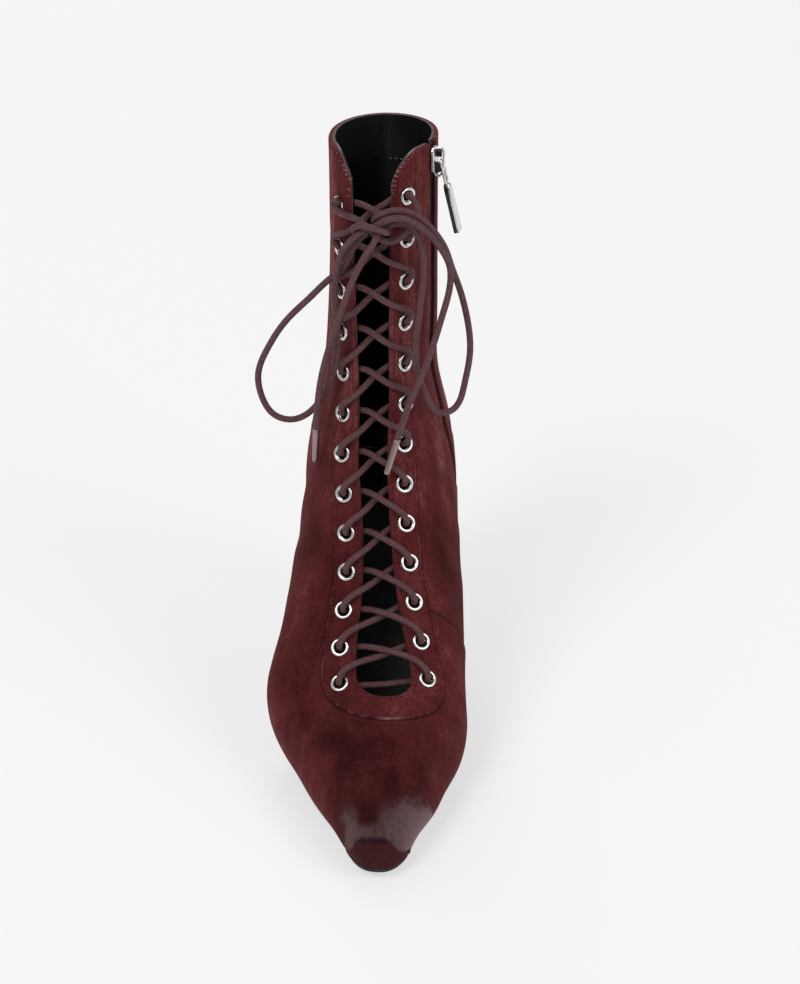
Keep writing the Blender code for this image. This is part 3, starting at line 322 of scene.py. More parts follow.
def mottle_group():
    """Soft patches at two scales, 0 to 1, as brushed leather has."""
    group, given, out = new_group(
        "mottle",
        [("Vector", VECTOR, (0, 0, 0)), ("Patch Scale", FLOAT, 30.0), ("Streak Scale", FLOAT, 120.0),
         ("Streak Share", FLOAT, 0.4)],
        [("Mask", FLOAT)])
    patch = add(group, "ShaderNodeTexNoise", {
        "Vector": given["Vector"], "Scale": given["Patch Scale"], "Detail": 4.0, "Roughness": 0.55,
        "Distortion": 0.6}).outputs["Fac"]
    streak = add(group, "ShaderNodeTexNoise", {
        "Vector": given["Vector"], "Scale": given["Streak Scale"], "Detail": 3.0,
        "Roughness": 0.6}).outputs["Fac"]
    mixed = add(group, "ShaderNodeMix", {0: given["Streak Share"], 2: patch, 3: streak}, data_type="FLOAT")
    group.links.new(ramp(group, mixed.outputs[0], 0.32, 0.68), out["Mask"])
    return group


def grain_group():
    """A bumped normal from fine noise, on top of the normal that is given."""
    group, given, out = new_group(
        "grain",
        [("Vector", VECTOR, (0, 0, 0)), ("Scale", FLOAT, 2500.0), ("Depth", FLOAT, 0.0001),
         ("Normal", VECTOR, (0, 0, 0))],
        [("Normal", VECTOR)])
    fine = add(group, "ShaderNodeTexNoise", {
        "Vector": given["Vector"], "Scale": given["Scale"], "Detail": 3.0, "Roughness": 0.65}).outputs["Fac"]
    bump = add(group, "ShaderNodeBump", {
        "Height": fine, "Distance": given["Depth"], "Normal": given["Normal"], "Strength": 1.0})
    group.links.new(bump.outputs["Normal"], out["Normal"])
    return group


MOTTLE, GRAIN = mottle_group(), grain_group()


def use_group(tree, group, wires):
    return add(tree, "ShaderNodeGroup", wires, node_tree=group).outputs


def object_place(tree):
    return tree.nodes.new("ShaderNodeTexCoord").outputs["Object"]


def attribute(tree, name):
    return add(tree, "ShaderNodeAttribute", attribute_name=name).outputs["Fac"]


print("groups:", MOTTLE.name, GRAIN.name)

# %% [markdown]
# The cord is braided cotton under wax: two families of strands wind round it and cross. The crossing is drawn
# on the tube's UV map as the product of two slanted waves, which drives the bump, and the colour as painted
# shade in the hollows between the strands.

# %% The lace's material
BRAID_STRANDS = 6.0
BRAID_TURNS = 3.0
LACE_LIGHT = (0.250, 0.118, 0.124)
# The colour of the hollows between the strands, a painted shade.
LACE_HOLLOW_SHADE = (0.036, 0.0130, 0.0150)


def lace_material():
    made, tree, shader = new_material("lace_cord", 0.6, Specular_IOR_Level=0.22)
    uv = add(tree, "ShaderNodeSeparateXYZ", {0: tree.nodes.new("ShaderNodeTexCoord").outputs["UV"]}).outputs
    waves = []
    for direction in (1, -1):
        turn = math_node(tree, "MULTIPLY", uv["X"], 2 * math.pi * BRAID_STRANDS * direction)
        along = math_node(tree, "MULTIPLY", uv["Y"], 2 * math.pi * BRAID_TURNS)
        waves.append(math_node(tree, "SINE", math_node(tree, "ADD", turn, along)))
    weave = math_node(tree, "MULTIPLY", *waves)
    raised = ramp(tree, weave, -0.9, 0.9)
    place = object_place(tree)
    patches = use_group(tree, MOTTLE, {"Vector": place, "Patch Scale": 900.0, "Streak Scale": 2400.0})["Mask"]
    light = mix_colour(tree, patches, LACE_LIGHT, tuple(0.5 * c for c in LACE_LIGHT))
    # Painted shade: the cord is darker where its strands dip between the crossings.
    colour = mix_colour(tree, raised, LACE_HOLLOW_SHADE, light)
    tree.links.new(colour, shader["Base Color"])
    bump = add(tree, "ShaderNodeBump", {"Height": raised, "Distance": 0.00022, "Strength": 0.9})
    grain = use_group(tree, GRAIN, {
        "Vector": place, "Scale": 5200.0, "Depth": 0.00006, "Normal": bump.outputs["Normal"]})
    tree.links.new(grain["Normal"], shader["Normal"])
    tree.links.new(ramp(tree, patches, -1.2, 2.0), shader["Roughness"])
    return made


CORD = lace_material()
print("material", CORD.name)

# %% [markdown]
# Eyelets, slider and aglets are plated metal. A perfect mirror looks false at this size, so the material
# has faint patches in colour and roughness and a very fine grain. One function makes every metal, and
# they differ in colour and polish alone.

# %% The metals
METAL_SCRATCH = 0.00002


def metal_material(name, colour, roughness):
    made, tree, shader = new_material(name, roughness, 1.0)
    place = object_place(tree)
    patches = use_group(tree, MOTTLE, {"Vector": place, "Patch Scale": 700.0, "Streak Scale": 2200.0})["Mask"]
    tree.links.new(mix_colour(tree, patches, colour, tuple(0.86 * c for c in colour)), shader["Base Color"])
    rough = add(tree, "ShaderNodeMapRange", {"Value": patches, "To Min": roughness, "To Max": roughness * 1.7})
    tree.links.new(rough.outputs["Result"], shader["Roughness"])
    grain = use_group(tree, GRAIN, {"Vector": place, "Scale": 3000.0, "Depth": METAL_SCRATCH})
    tree.links.new(grain["Normal"], shader["Normal"])
    return made


NICKEL = metal_material("nickel", (0.80, 0.79, 0.77), 0.17)
AGLET_METAL = metal_material("aglet_metal", (0.33, 0.24, 0.24), 0.24)
print("materials", NICKEL.name, AGLET_METAL.name)

# %% [markdown]
# The bow is tied in the same lace that goes through the eyelets. Its five runs are tubes along the routes
# above, each beginning where its solid begins.

# %% The free runs of the lace
pieces = {}
for name in BOW:
    pieces[name] = tube(name, bow_path(name), LACE / 2, CORD)
print(len(pieces), "runs of the bow")

# %% [markdown]
# A lace ends in two aglets, thin metal sleeves crimped over the cord. A sleeve is a turned shape along
# the cord's last direction, with a rolled mouth and a slightly narrowed tip.

# %% The aglets
AGLET_RADIUS = 0.0015
AGLET_PROFILE = ((0.0, 1.02), (0.03, 1.10), (0.07, 1.02), (0.5, 0.97), (0.93, 0.93), (0.98, 0.82), (1.0, 0.55))


def aglet(name, run):
    path = bow_path(run)
    ahead = unit(path[-1] - path[-4])
    shares, widths = np.array(AGLET_PROFILE).T
    spots = np.unique(np.concatenate([np.linspace(0, 1, 30), shares]))
    centres = path[-1] + ahead * GAP + np.outer(spots * AGLET_LENGTH, ahead)
    return tube(name, centres, AGLET_RADIUS * np.interp(spots, shares, widths), AGLET_METAL, sides=20)


for side in ("inner", "outer"):
    made = aglet(f"aglet_{side}_shown", f"lace_end_{side}")
    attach(made, "boot")
    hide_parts(f"aglet_{side}")
    pieces[f"aglet_{side}"] = made


print("aglets of", AGLET_LENGTH, "m")

# %% [markdown]
# Each free run of the bow is renamed as the piece shown and attached to the boot, and its imported solid is
# hidden.

for name, far_end, on_it in (
    ("lace_knot", "object", []), ("lace_loop_inner", "object", []), ("lace_loop_outer", "object", []),
    ("lace_end_inner", "fitting", [pieces["aglet_inner"]]),
    ("lace_end_outer", "fitting", [pieces["aglet_outer"]]),
):
    piece = pieces[name]
    piece.name = name + "_shown"
    path = bow_path(name)
    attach(piece, "boot")
    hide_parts(name)

# %% [markdown]
# The upper is built on the last, the form that the boot is made over. The last is a fan of sections
# from the toe round to the collar: each row of the table is one section, as shares of the named sizes,
# and a smooth curve runs through the rows. Any spot on the boot is then a station along the fan and a
# share of the half girth, so stitches, creases and holes can all be placed in the boot's own measure.

# %% The named sizes
BOOT_LENGTH = 0.248
HEEL_HEIGHT = 0.078
SHAFT_HEIGHT = 0.176
INSTEP_HEIGHT = 0.049
BALL_WIDTH = 0.084
SHAFT_WIDTH = 0.049
SHAFT_DEPTH = 0.093
TOE_SPRING = 0.0053
SOLE = 0.0035
WALL = 0.0018
TIP_SETBACK = 0.0205
SEAT_ROW = 14
print("boot", BOOT_LENGTH, "heel", HEEL_HEIGHT, "shaft", SHAFT_HEIGHT)

# %% [markdown]
# Each row is one section of the fan, from the toe's edge to the collar, and each column a share of a
# named size. The form could be carved by hand instead, but a table is easy to read and to change.

# %% The table of sections
SECTION_COLUMNS = (
    "shaft", "deep",
    "ridge_along", "ridge_side", "ridge_spring", "ridge_instep", "ridge_lift", "ridge_rise",
    "edge_along", "edge_medial", "edge_lateral", "edge_spring", "edge_lift", "edge_rise",
    "wide_medial", "wide_lateral", "wide_at", "arc", "round",
)
SECTIONS = (
    (0, 0, 1.006, 0.125, 1, 0, 0, 0, 0.952, 0.285, -0.048, 0.7, 0, 0, 0.285, -0.048, 1, 0.3, 2.4),
    (0, 0, 1.006, 0.122, 0.95, 0.12, 0, 0, 0.926, 0.285, -0.05, 0.5, 0, 0, 0.298, -0.066, 0.85, 0.8, 2.2),
    (0, 0, 0.98, 0.118, 0.75, 0.306, 0, 0, 0.89, 0.3, -0.088, 0.32, 0, 0, 0.325, -0.112, 0.75, 1, 2.1),
    (0, 0, 0.924, 0.11, 0.4, 0.478, 0, 0, 0.838, 0.336, -0.157, 0.13, 0, 0, 0.382, -0.2, 0.7, 1, 2),
    (0, 0, 0.844, 0.106, 0.12, 0.65, 0, 0, 0.774, 0.384, -0.25, 0, -0.004, 0, 0.436, -0.303, 0.66, 1, 1.9),
    (0, 0, 0.758, 0.102, 0, 0.816, 0, 0, 0.706, 0.436, -0.342, 0, -0.004, 0, 0.496, -0.408, 0.63, 1, 1.9),
    (0, 0, 0.686, 0.094, 0, 1, 0, 0, 0.637, 0.444, -0.406, 0, 0.036, 0, 0.527, -0.514, 0.62, 1, 1.9),
    (0, 0.1, 0.68, 0.07, 0, 1.016, 0.15, 0, 0.569, 0.39, -0.412, 0, 0.141, 0, 0.512, -0.553, 0.61, 1, 1.9),
    (0, 0.25, 0.698, 0.049, 0, 1.05, 0.32, 0, 0.484, 0.31, -0.357, 0, 0.314, 0, 0.496, -0.508, 0.6, 1, 1.95),
    (0, 0.45, 0.7569, 0.029, 0, 1.1, 0.52, 0, 0.387, 0.262, -0.327, 0, 0.545, 0, 0.472, -0.468, 0.58, 1, 2),
    (0, 0.7, 0.896, 0.007, 0, 1.17, 0.72, 0, 0.282, 0.274, -0.315, 0, 0.776, 0, 0.437, -0.432, 0.56, 1, 2.1),
    (0, 0.8, 0.952, -0.01, 0, 0, 1, 0.298, 0.169, 0.321, -0.327, 0, 0.923, 0, 0.409, -0.419, 0.55, 1, 2.2),
    (0, 0.9, 1.0423, -0.011, 0, 0, 1, 0.372, 0.056, 0.286, -0.286, 0, 0.987, 0, 0.386, -0.414, 0.55, 1, 2.2),
    (0, 0.95, 1.108, -0.011, 0, 0, 1, 0.396, 0.018, 0.179, -0.179, 0, 0.997, 0, 0.378, -0.408, 0.55, 1, 2.2),
    (0, 1, 1.184, -0.011, 0, 0, 1, 0.423, 0, 0, 0, 0, 1, 0, 0.367, -0.4, 0.54, 1, 2.2),
    (1, 1, 1.167, -0.02, 0, 0, 1, 0.469, -0.027, 0, 0, 0, 1, 0.105, 0.58, -0.622, 0.52, 1, 2.2),
    (1, 1, 1.145, -0.03, 0, 0, 1, 0.548, 0.011, 0, 0, 0, 1, 0.247, 0.496, -0.551, 0.5, 1, 2.2),
    (1, 1, 1.129, -0.04, 0, 0, 1, 0.651, 0.086, 0, 0, 0, 1, 0.418, 0.49, -0.516, 0.5, 1, 2.2),
    (1, 1, 1.118, -0.048, 0, 0, 1, 0.787, 0.118, 0, 0, 0, 1, 0.616, 0.494, -0.502, 0.5, 1, 2.2),
    (1, 1, 1.118, -0.05, 0, 0, 1, 1.094, 0.108, 0, 0, 0, 1, 1, 0.487, -0.496, 0.5, 1, 2.2),
)
print(len(SECTIONS), "sections of", len(SECTION_COLUMNS), "columns")

# %% [markdown]
# Each share is multiplied by the size that it follows: places along the foot by the boot's length, places
# on the shaft by its depth, and widths by the ball's or the shaft's.

# %% The sections in metres


def section_rows():
    """Each section's ridge, widest places and bulge, and its place on the sole's edge or back seam."""
    column = dict(zip(SECTION_COLUMNS, np.array(SECTIONS, float).T))
    shaft, deep = column["shaft"], column["deep"]
    length = BOOT_LENGTH * (1 - shaft) + SHAFT_DEPTH * shaft
    width = BALL_WIDTH * (1 - shaft) + SHAFT_WIDTH * shaft
    ridge = [
        column["ridge_along"] * (BOOT_LENGTH * (1 - deep) + SHAFT_DEPTH * deep),
        column["ridge_side"] * width,
        SOLE + column["ridge_spring"] * TOE_SPRING + column["ridge_instep"] * INSTEP_HEIGHT
        + column["ridge_lift"] * HEEL_HEIGHT + column["ridge_rise"] * SHAFT_HEIGHT,
        column["wide_medial"] * width,
        column["wide_lateral"] * width,
        column["wide_at"],
        column["arc"],
        column["round"],
    ]
    edge = [
        column["edge_along"] * length,
        column["edge_medial"] * width,
        column["edge_lateral"] * width,
        column["edge_spring"] * TOE_SPRING + column["edge_lift"] * HEEL_HEIGHT
        + column["edge_rise"] * SHAFT_HEIGHT,
    ]
    return np.stack(ridge, 1), np.stack(edge, 1)


print("ridge and edge of", len(section_rows()[0]), "sections")

# %% [markdown]
# Smooth curves join the rows. Each half bulges out to its widest place and tucks in below it.

# %% The last


class Last:
    """The boot's outer form: a smooth family of sections that fan from the toe round to the collar."""

    STATIONS, SHARES, DENSE = 360, 96, 240

    def __init__(self):
        self.ridge_rows, self.edge_rows = ridge, edge = section_rows()
        steps = (
            np.hypot(*np.diff(ridge[:, [0, 2]], axis=0).T)
            + np.linalg.norm(np.diff(edge, axis=0), axis=1)
        ) / 2
        self.knots = np.concatenate([[0], np.cumsum(steps)])
        self.top = self.knots[-1]
        self.seat = self.knots[SEAT_ROW]
        self.stations = np.unique(np.concatenate([
            np.linspace(0, self.top, self.STATIONS), [self.seat],
        ]))
        self.tables = {side: self.table(side) for side in (1, -1)}
        self.ridge_length = way_along(self.ridge(self.stations)[:, :3])

    def ridge(self, at):
        return along_cubic(self.knots, self.ridge_rows, at)

    def edge(self, at):
        """The sole's edge up to the seat's back, and the back seam above it."""
        at = np.asarray(at, float)
        split = SEAT_ROW + 1
        foot = along_cubic(self.knots[:split], self.edge_rows[:split], np.minimum(at, self.seat))
        back = along_cubic(self.knots[SEAT_ROW:], self.edge_rows[SEAT_ROW:], np.maximum(at, self.seat))
        both = np.where((at <= self.seat)[..., None], foot, back)
        both[..., 1] = np.where(at < self.seat, both[..., 1], 0)
        both[..., 2] = np.where(at < self.seat, both[..., 2], 0)
        both[..., 3] = SOLE + np.maximum(both[..., 3], 0)
        return both

    def table(self, side):
        """Points of one half at every station and share of its girth, and each half girth."""
        ridge, edge = self.ridge(self.stations), self.edge(self.stations)
        way = (1 - np.cos(np.pi * np.linspace(0, 1, self.DENSE))) / 2
        wide_at = np.minimum(ridge[:, 5], 1)[:, None]
        arc = np.minimum(ridge[:, 6], 1)[:, None]
        power = ridge[:, 7][:, None]
        middle = ridge[:, 1][:, None]
        widest = ridge[:, 3 if side > 0 else 4][:, None]
        foot = edge[:, 1 if side > 0 else 2][:, None]
        front = np.clip(arc * way / wide_at, 0, 1)
        bulge = (1 - (1 - front) ** power) ** (1 / power)
        bulge = bulge / (1 - (1 - arc) ** power) ** (1 / power)
        behind = np.clip((way - wide_at) / np.maximum(1 - wide_at, 1e-6), 0, 1)
        tuck = np.clip(np.abs(foot / widest), 0, 1)
        close = (1 - behind ** 2.1) ** (0.5 + 0.45 * tuck ** 2)
        across = np.where(
            way <= wide_at, middle + (widest - middle) * bulge, foot + (widest - foot) * close)
        forward = ridge[:, 0][:, None] + (edge[:, 0] - ridge[:, 0])[:, None] * way
        up = ridge[:, 2][:, None] + (edge[:, 3] - ridge[:, 2])[:, None] * way
        points = np.stack([across, TIP_SETBACK - forward, up], -1)
        girth = np.concatenate([
            np.zeros((len(points), 1)),
            np.cumsum(np.linalg.norm(np.diff(points, axis=1), axis=2), 1),
        ], 1)
        shares = np.linspace(0, 1, self.SHARES)
        even = np.empty((len(points), self.SHARES, 3))
        for i in range(len(points)):
            for k in range(3):
                even[i, :, k] = np.interp(shares * girth[i, -1], girth[i], points[i, :, k])
        return even, girth[:, -1], (way, girth)

    def girth(self, at, side):
        return np.interp(at, self.stations, self.tables[side][1])

    def read(self, table, at, share):
        """A table read between its stations and shares."""
        i = np.clip(np.searchsorted(self.stations, at, side="right") - 1, 0, len(self.stations) - 2)
        f = ((at - self.stations[i]) / (self.stations[i + 1] - self.stations[i]))[..., None]
        s = np.clip(share, 0, 1) * (self.SHARES - 1)
        j = np.clip(np.floor(s).astype(int), 0, self.SHARES - 2)
        g = (s - j)[..., None]
        low = table[i, j] * (1 - g) + table[i, j + 1] * g
        high = table[i + 1, j] * (1 - g) + table[i + 1, j + 1] * g
        return low * (1 - f) + high * f

    def point(self, at, share):
        """The outer form at a station and a share of the half girth, positive on the inner side."""
        at, share = np.broadcast_arrays(np.asarray(at, float), np.asarray(share, float))
        inner = self.read(self.tables[1][0], at, np.abs(share))
        outer = self.read(self.tables[-1][0], at, np.abs(share))
        return np.where((share >= 0)[..., None], inner, outer)

    def normal(self, at, share):
        """The outward direction there."""
        at, share = np.broadcast_arrays(np.asarray(at, float), np.asarray(share, float))
        reach, spread = 0.0015, 0.012
        at = np.clip(at, reach, self.top - reach)
        share = np.clip(share, -1 + spread, 1 - spread)
        up = self.point(at + reach, share) - self.point(at - reach, share)
        across = self.point(at, share + spread) - self.point(at, share - spread)
        return unit(np.cross(across, up))

    def station(self, ridge_length):
        """The station at a distance from the toe along the ridge."""
        return np.interp(ridge_length, self.ridge_length, self.stations)

    def bed(self, y):
        """Height of the last's underside at a place along the boot."""
        at = self.stations[self.stations <= self.seat]
        edge = self.edge(at)
        return np.interp(TIP_SETBACK - np.asarray(y, float), edge[::-1, 0], edge[::-1, 3])


LAST = Last()
RIDGE = float(LAST.ridge_length[-1])
print(f"the last's ridge is {RIDGE / MM:.1f} mm from toe to collar")

# %% [markdown]
# The upper's lines run outwards from the throat: beside the throat they are the last's own sections,
# and round its foot they spread over the vamp to the toe. A fine grid on these lines gives clean
# quads that follow the eyestay, the zip and the sole's edge, so each detail has its own columns.

# %% The sizes of throat, eyestay, seam and zip
EYESTAY_RAISE = 0.0009
EYESTAY_WIDTH = 0.0134
EYESTAY_FOOT_WIDTH = 0.0166
EYESTAY_BELOW = 0.0122
VAMP_LENGTH = 0.0870
THROAT_WIDTH = 0.0250
THROAT_ROUND = 0.0110
THROAT_CORNER_RISE = 0.0165
THROAT_CORNER_REACH = 0.0200
EYELET_PAIRS = 13
EYELET_INSET = 0.0072
EYELET_FIRST = 0.0103
EYELET_LAST = 0.0222
EYELET_STAGGER = 0.0026
EYELET_EASE = 0.0055
EYELET_RADIUS = 0.0041
EYELET_HOLE = 0.0026
SEAM_RAISE = 0.0007
SEAM_FADE = 0.030
ZIP_GAP = 0.0052
ZIP_REAR = 0.0030
ZIP_SETBACK = 0.0280
ZIP_FOOT = 0.0990
HEEL_TURN = 0.030
SEAM_ALONG = 0.1310
THROAT = (
    (0, 0.50), (0.06, 0.50), (0.12, 0.43), (0.17, 0.345),
    (0.23, 0.28), (0.33, 0.246), (0.49, 0.276), (1, 0.40),
)
THROAT_LENGTH = RIDGE - VAMP_LENGTH

# How many grid cells lie on each stretch of a line
CORNER_ROWS, SHAFT_ROWS, HEEL_ROWS_FINE, TOE_ROWS = 12, 110, 58, 120
STAY_CELLS, QUARTER_CELLS, GAP_CELLS, BACK_CELLS = 12, 28, 2, 26
EDGE_STEPS = (0.0, 0.18, 0.45, 0.85)
print("throat", round(THROAT_LENGTH / MM, 1), "mm long")

# %% [markdown]
# The throat is narrow over the instep and wide at both ends, and its foot is round. The eyestay follows
# it at a nearly even width. Both are given as distances round the boot, so they keep their size where the
# boot narrows.

# %% How wide the throat and the eyestay are


def throat_half_width(up_throat):
    """Girth from the ridge to the throat's edge, at a distance up the throat from its lowest point."""
    shares, halves = np.array(THROAT).T
    half = THROAT_WIDTH * np.interp(up_throat / THROAT_LENGTH, shares, halves)
    into_round = min(up_throat / THROAT_ROUND, 1)
    return half * math.sqrt(1 - (1 - into_round) ** 2)


def corner_reach(up_throat):
    """How far the throat's edge has curved outwards where it meets the collar."""
    into_corner = min(max((up_throat - THROAT_LENGTH) / THROAT_CORNER_RISE + 1, 0), 1)
    return THROAT_CORNER_REACH * (1 - math.sqrt(1 - into_corner ** 2))


def eyestay_width(up_throat):
    """Width of the eyestay beside the throat, broader where it goes round the throat's foot."""
    settle = min(up_throat / (0.25 * THROAT_LENGTH), 1)
    return EYESTAY_FOOT_WIDTH + (EYESTAY_WIDTH - EYESTAY_FOOT_WIDTH) * settle


print("throat and eyestay ready")

# %% [markdown]
# A zip can't bend sideways, so from the side it stands straight up at a set distance from the shaft's
# front. Its share of the girth is found for each section of the fan.

# %% Where the zip runs


def zip_way(at):
    """Share of the inner half girth where the zip's middle crosses the section at this station."""
    ridge, edge = LAST.ridge(at), LAST.edge(at)
    forward = LAST.ridge(LAST.top)[0] - ZIP_SETBACK
    way = (ridge[0] - forward) / (ridge[0] - edge[0])
    _, halves, (ways, girths) = LAST.tables[1]
    nearest = int(np.argmin(np.abs(LAST.stations - at)))
    return float(np.interp(way, ways, girths[nearest]) / halves[nearest])


@lru_cache
def zip_end_station():
    """The station where the zip's middle comes down to ZIP_FOOT."""
    stations = np.linspace(LAST.knots[10], LAST.top, 200)
    heights = [float(LAST.point(at, zip_way(at))[2]) for at in stations]
    return float(np.interp(ZIP_FOOT, heights, stations))


print("the zip ends at station", round(zip_end_station(), 4))

# %% [markdown]
# Beside the throat each line of the grid is one section. Its columns crowd at the edges of throat,
# eyestay and slot, which makes those edges crisp without many points elsewhere. Round the heel the lines
# crowd where the seat turns.

# %% The grid's lines beside the throat


def heel_stations(start, finish, lines):
    """Stations spaced along the seat's edge, closer together where it turns round the heel."""
    at = np.linspace(start, finish, 400)
    edge = LAST.point(at, 1.0)
    step = np.diff(edge, axis=0)
    length = np.linalg.norm(step, axis=1)
    turn = np.concatenate([[0], np.linalg.norm(np.diff(step / length[:, None], axis=0), axis=1)])
    weight = np.concatenate([[0], np.cumsum(length + HEEL_TURN * np.minimum(turn, 0.2))])
    ridge = np.interp(at, LAST.stations, LAST.ridge_length)
    weight += ridge[0] - ridge
    return np.interp(np.linspace(0, weight[-1], lines + 1)[1:], weight, at)


FOOT_STATION = float(LAST.station(VAMP_LENGTH + THROAT_ROUND))
SEAM_STATION = float(LAST.station(SEAM_ALONG))


def side_stations():
    """Stations of the grid's lines on each side of the throat, from the collar down."""
    turns = [math.pi / 2 * k / CORNER_ROWS for k in range(CORNER_ROWS)]
    depths = sorted([THROAT_CORNER_RISE * (1 - math.cos(t)) for t in turns] + [s * MM for s in EDGE_STEPS[1:3]])
    corner = [float(LAST.station(RIDGE - depth)) for depth in depths]
    below = float(LAST.station(RIDGE - THROAT_CORNER_RISE))
    shaft = np.linspace(below, zip_end_station(), SHAFT_ROWS)
    return [*corner, *shaft, *heel_stations(zip_end_station(), FOOT_STATION, HEEL_ROWS_FINE)]


def throat_line(at, side):
    """Shares of the half girth for the grid's columns along one section beside the throat."""
    up_throat = float(np.interp(at, LAST.stations, LAST.ridge_length)) - VAMP_LENGTH
    girth = float(LAST.girth(at, side))
    straight = throat_half_width(max(up_throat, THROAT_ROUND)) / girth
    edge = straight + corner_reach(up_throat) / girth
    stay = max(straight + eyestay_width(up_throat) / girth, edge + 3 * MM / girth)
    middle = zip_way(max(at, zip_end_station()))
    half_gap = ZIP_GAP / 2 / girth
    middle = max(middle, stay + 3 * half_gap)
    near = [s * MM / girth for s in EDGE_STEPS]
    inside = [edge + n for n in near] + [stay - n for n in reversed(near[:3])]
    stays = [*inside[:4], *np.linspace(inside[3], inside[4], STAY_CELLS + 1)[1:-1], *inside[4:]]
    outside = [stay + near[1] * 0.6, stay + near[2], stay + near[3] * 1.4]
    front = middle - half_gap
    quarter = [*np.linspace(outside[-1], front - near[3], QUARTER_CELLS + 1)[1:], front - near[1], front]
    rear = middle + half_gap + ZIP_REAR / girth
    gap = np.linspace(front, rear, GAP_CELLS + 1)[1:]
    last = [rear + near[1], *np.linspace(rear + near[3], 1, BACK_CELLS + 1)]
    return np.array([*stays, *outside, *quarter, *gap, *last]), len(stays) - 1


STAY_COLUMN = throat_line(LAST.top, 1)[1]
ZIP_COLUMN = STAY_COLUMN + 3 + QUARTER_CELLS + 2
print("stay column", STAY_COLUMN, "zip column", ZIP_COLUMN)

# %% [markdown]
# Below the throat the lines fan out over the vamp to the sole's edge, as a hand smoothing leather over
# the toe would go. No point of the grid is then a pole, and shading stays even.

# %% The grid's lines over the toe


def toe_outline(count):
    """Stations and shares along the sole's edge round the toe, from the inner side to the outer."""
    down = np.linspace(FOOT_STATION, 0, 60)
    round_toe = np.linspace(1, -1, 40)[1:-1]
    stations = np.concatenate([down, np.zeros(len(round_toe)), down[::-1]])
    shares = np.concatenate([np.ones(60), round_toe, -np.ones(60)])
    length = way_along(LAST.point(stations, shares))
    tip = np.interp(0, -shares, length)
    half = count // 2
    wanted = np.concatenate([np.linspace(0, tip, half + 1), np.linspace(tip, length[-1], half + 1)[1:]])
    return np.interp(wanted, length, stations), np.interp(wanted, length, shares)


def toe_lines():
    """Stations and shares of the grid's lines that spread from the throat's foot over the vamp."""
    foot = {side: throat_line(side_stations()[-1], side)[0] for side in (1, -1)}
    girths = {side: float(LAST.girth(FOOT_STATION, side)) for side in (1, -1)}
    straight = throat_half_width(THROAT_ROUND)
    out_stations, out_shares = toe_outline(TOE_ROWS)
    lines = []
    for k in range(1, TOE_ROWS):
        turn = math.pi * k / TOE_ROWS
        side = 1 if math.cos(turn) >= 0 else -1
        columns = foot[side]
        places = (straight / girths[side], (straight + EYELET_INSET) / girths[side], columns[STAY_COLUMN])
        depth = THROAT_ROUND + np.interp(columns[:STAY_COLUMN + 1], places, (0, EYELET_INSET, EYESTAY_BELOW))
        start = VAMP_LENGTH + THROAT_ROUND - depth * math.sin(turn) ** 0.9
        near = np.stack([LAST.station(start), columns[:STAY_COLUMN + 1] * math.cos(turn)], 1)
        target = np.array([out_stations[k], out_shares[k]])
        reach = math.dist(LAST.point(*near[-1]), LAST.point(*target))
        share = (columns[STAY_COLUMN + 1:] - columns[STAY_COLUMN]) / (1 - columns[STAY_COLUMN])
        step = (columns[STAY_COLUMN + 1:STAY_COLUMN + 4] - columns[STAY_COLUMN]) * girths[side] / reach
        way = step[-1] + (share - share[2]) / (1 - share[2]) * (1 - step[-1])
        way[:3] = step
        lines.append(np.concatenate([near, near[-1] + way[:, None] * (target - near[-1])]))
    return np.array(lines)


print(TOE_ROWS - 1, "lines over the toe")

# %% [markdown]
# The three stretches are joined into one grid, from the collar down the inner side, round the toe and up
# the outer side.

# %% The upper's grid


def upper_grid():
    """Stations and shares of every point of the upper, from the inner collar round to the outer."""
    stations = side_stations()
    inner = [[(at, share) for share in throat_line(at, 1)[0]] for at in stations]
    outer = [[(at, -share) for share in throat_line(at, -1)[0]] for at in reversed(stations)]
    return np.concatenate([np.array(inner), toe_lines(), np.array(outer)])


GRID = upper_grid()
AT, SHARE = GRID[..., 0], GRID[..., 1]
SURFACE, OUT = LAST.point(AT, SHARE), LAST.normal(AT, SHARE)
ROWS, COLUMNS = AT.shape
print(f"the upper's grid has {ROWS} lines of {COLUMNS} points")

# %% [markdown]
# Real suede isn't a perfect form: it folds where the foot bends and hangs in soft troughs on the shaft.
# Such creases could come from a noise, but noise looks alike everywhere. Here the main ones are placed one by
# one. Each is a line on the last, in millimetres along the ridge from the toe and round the girth from the
# ridge, with a width and a depth, and it fades out towards its ends.

# %% The creases
# From (along, round) to (along, round), width, depth; positive round is the inner side
CREASES = (
    (268, -26, 205, -34, 7, 0.9), (300, -34, 240, -50, 9, 0.8), (325, -52, 262, -44, 8, 0.7),
    (262, 27, 200, 33, 6, 0.8), (232, 45, 178, 52, 8, 0.8), (300, 25, 250, 27, 6, 0.5),
    (184, -26, 168, -62, 7, 1.0), (170, -24, 150, -58, 8, 0.9), (196, -30, 186, -70, 6, 0.6),
    (176, 27, 160, 60, 7, 0.9), (160, 26, 140, 54, 8, 0.7), (190, 30, 182, 66, 6, 0.6),
    (66, -30, 60, 24, 8, 0.45), (78, -38, 72, -22, 6, 0.4), (74, 20, 66, 36, 6, 0.4),
)
WAVER = ((0.9, 31.0, 17.0, 0.3), (0.7, 19.0, -26.0, 1.7), (0.5, 12.0, 9.0, 4.1))
WAVER_DEPTH = 0.28


def girth_of(at, share):
    inner, outer = LAST.girth(at, 1), LAST.girth(at, -1)
    return np.where(share >= 0, inner, outer) * share


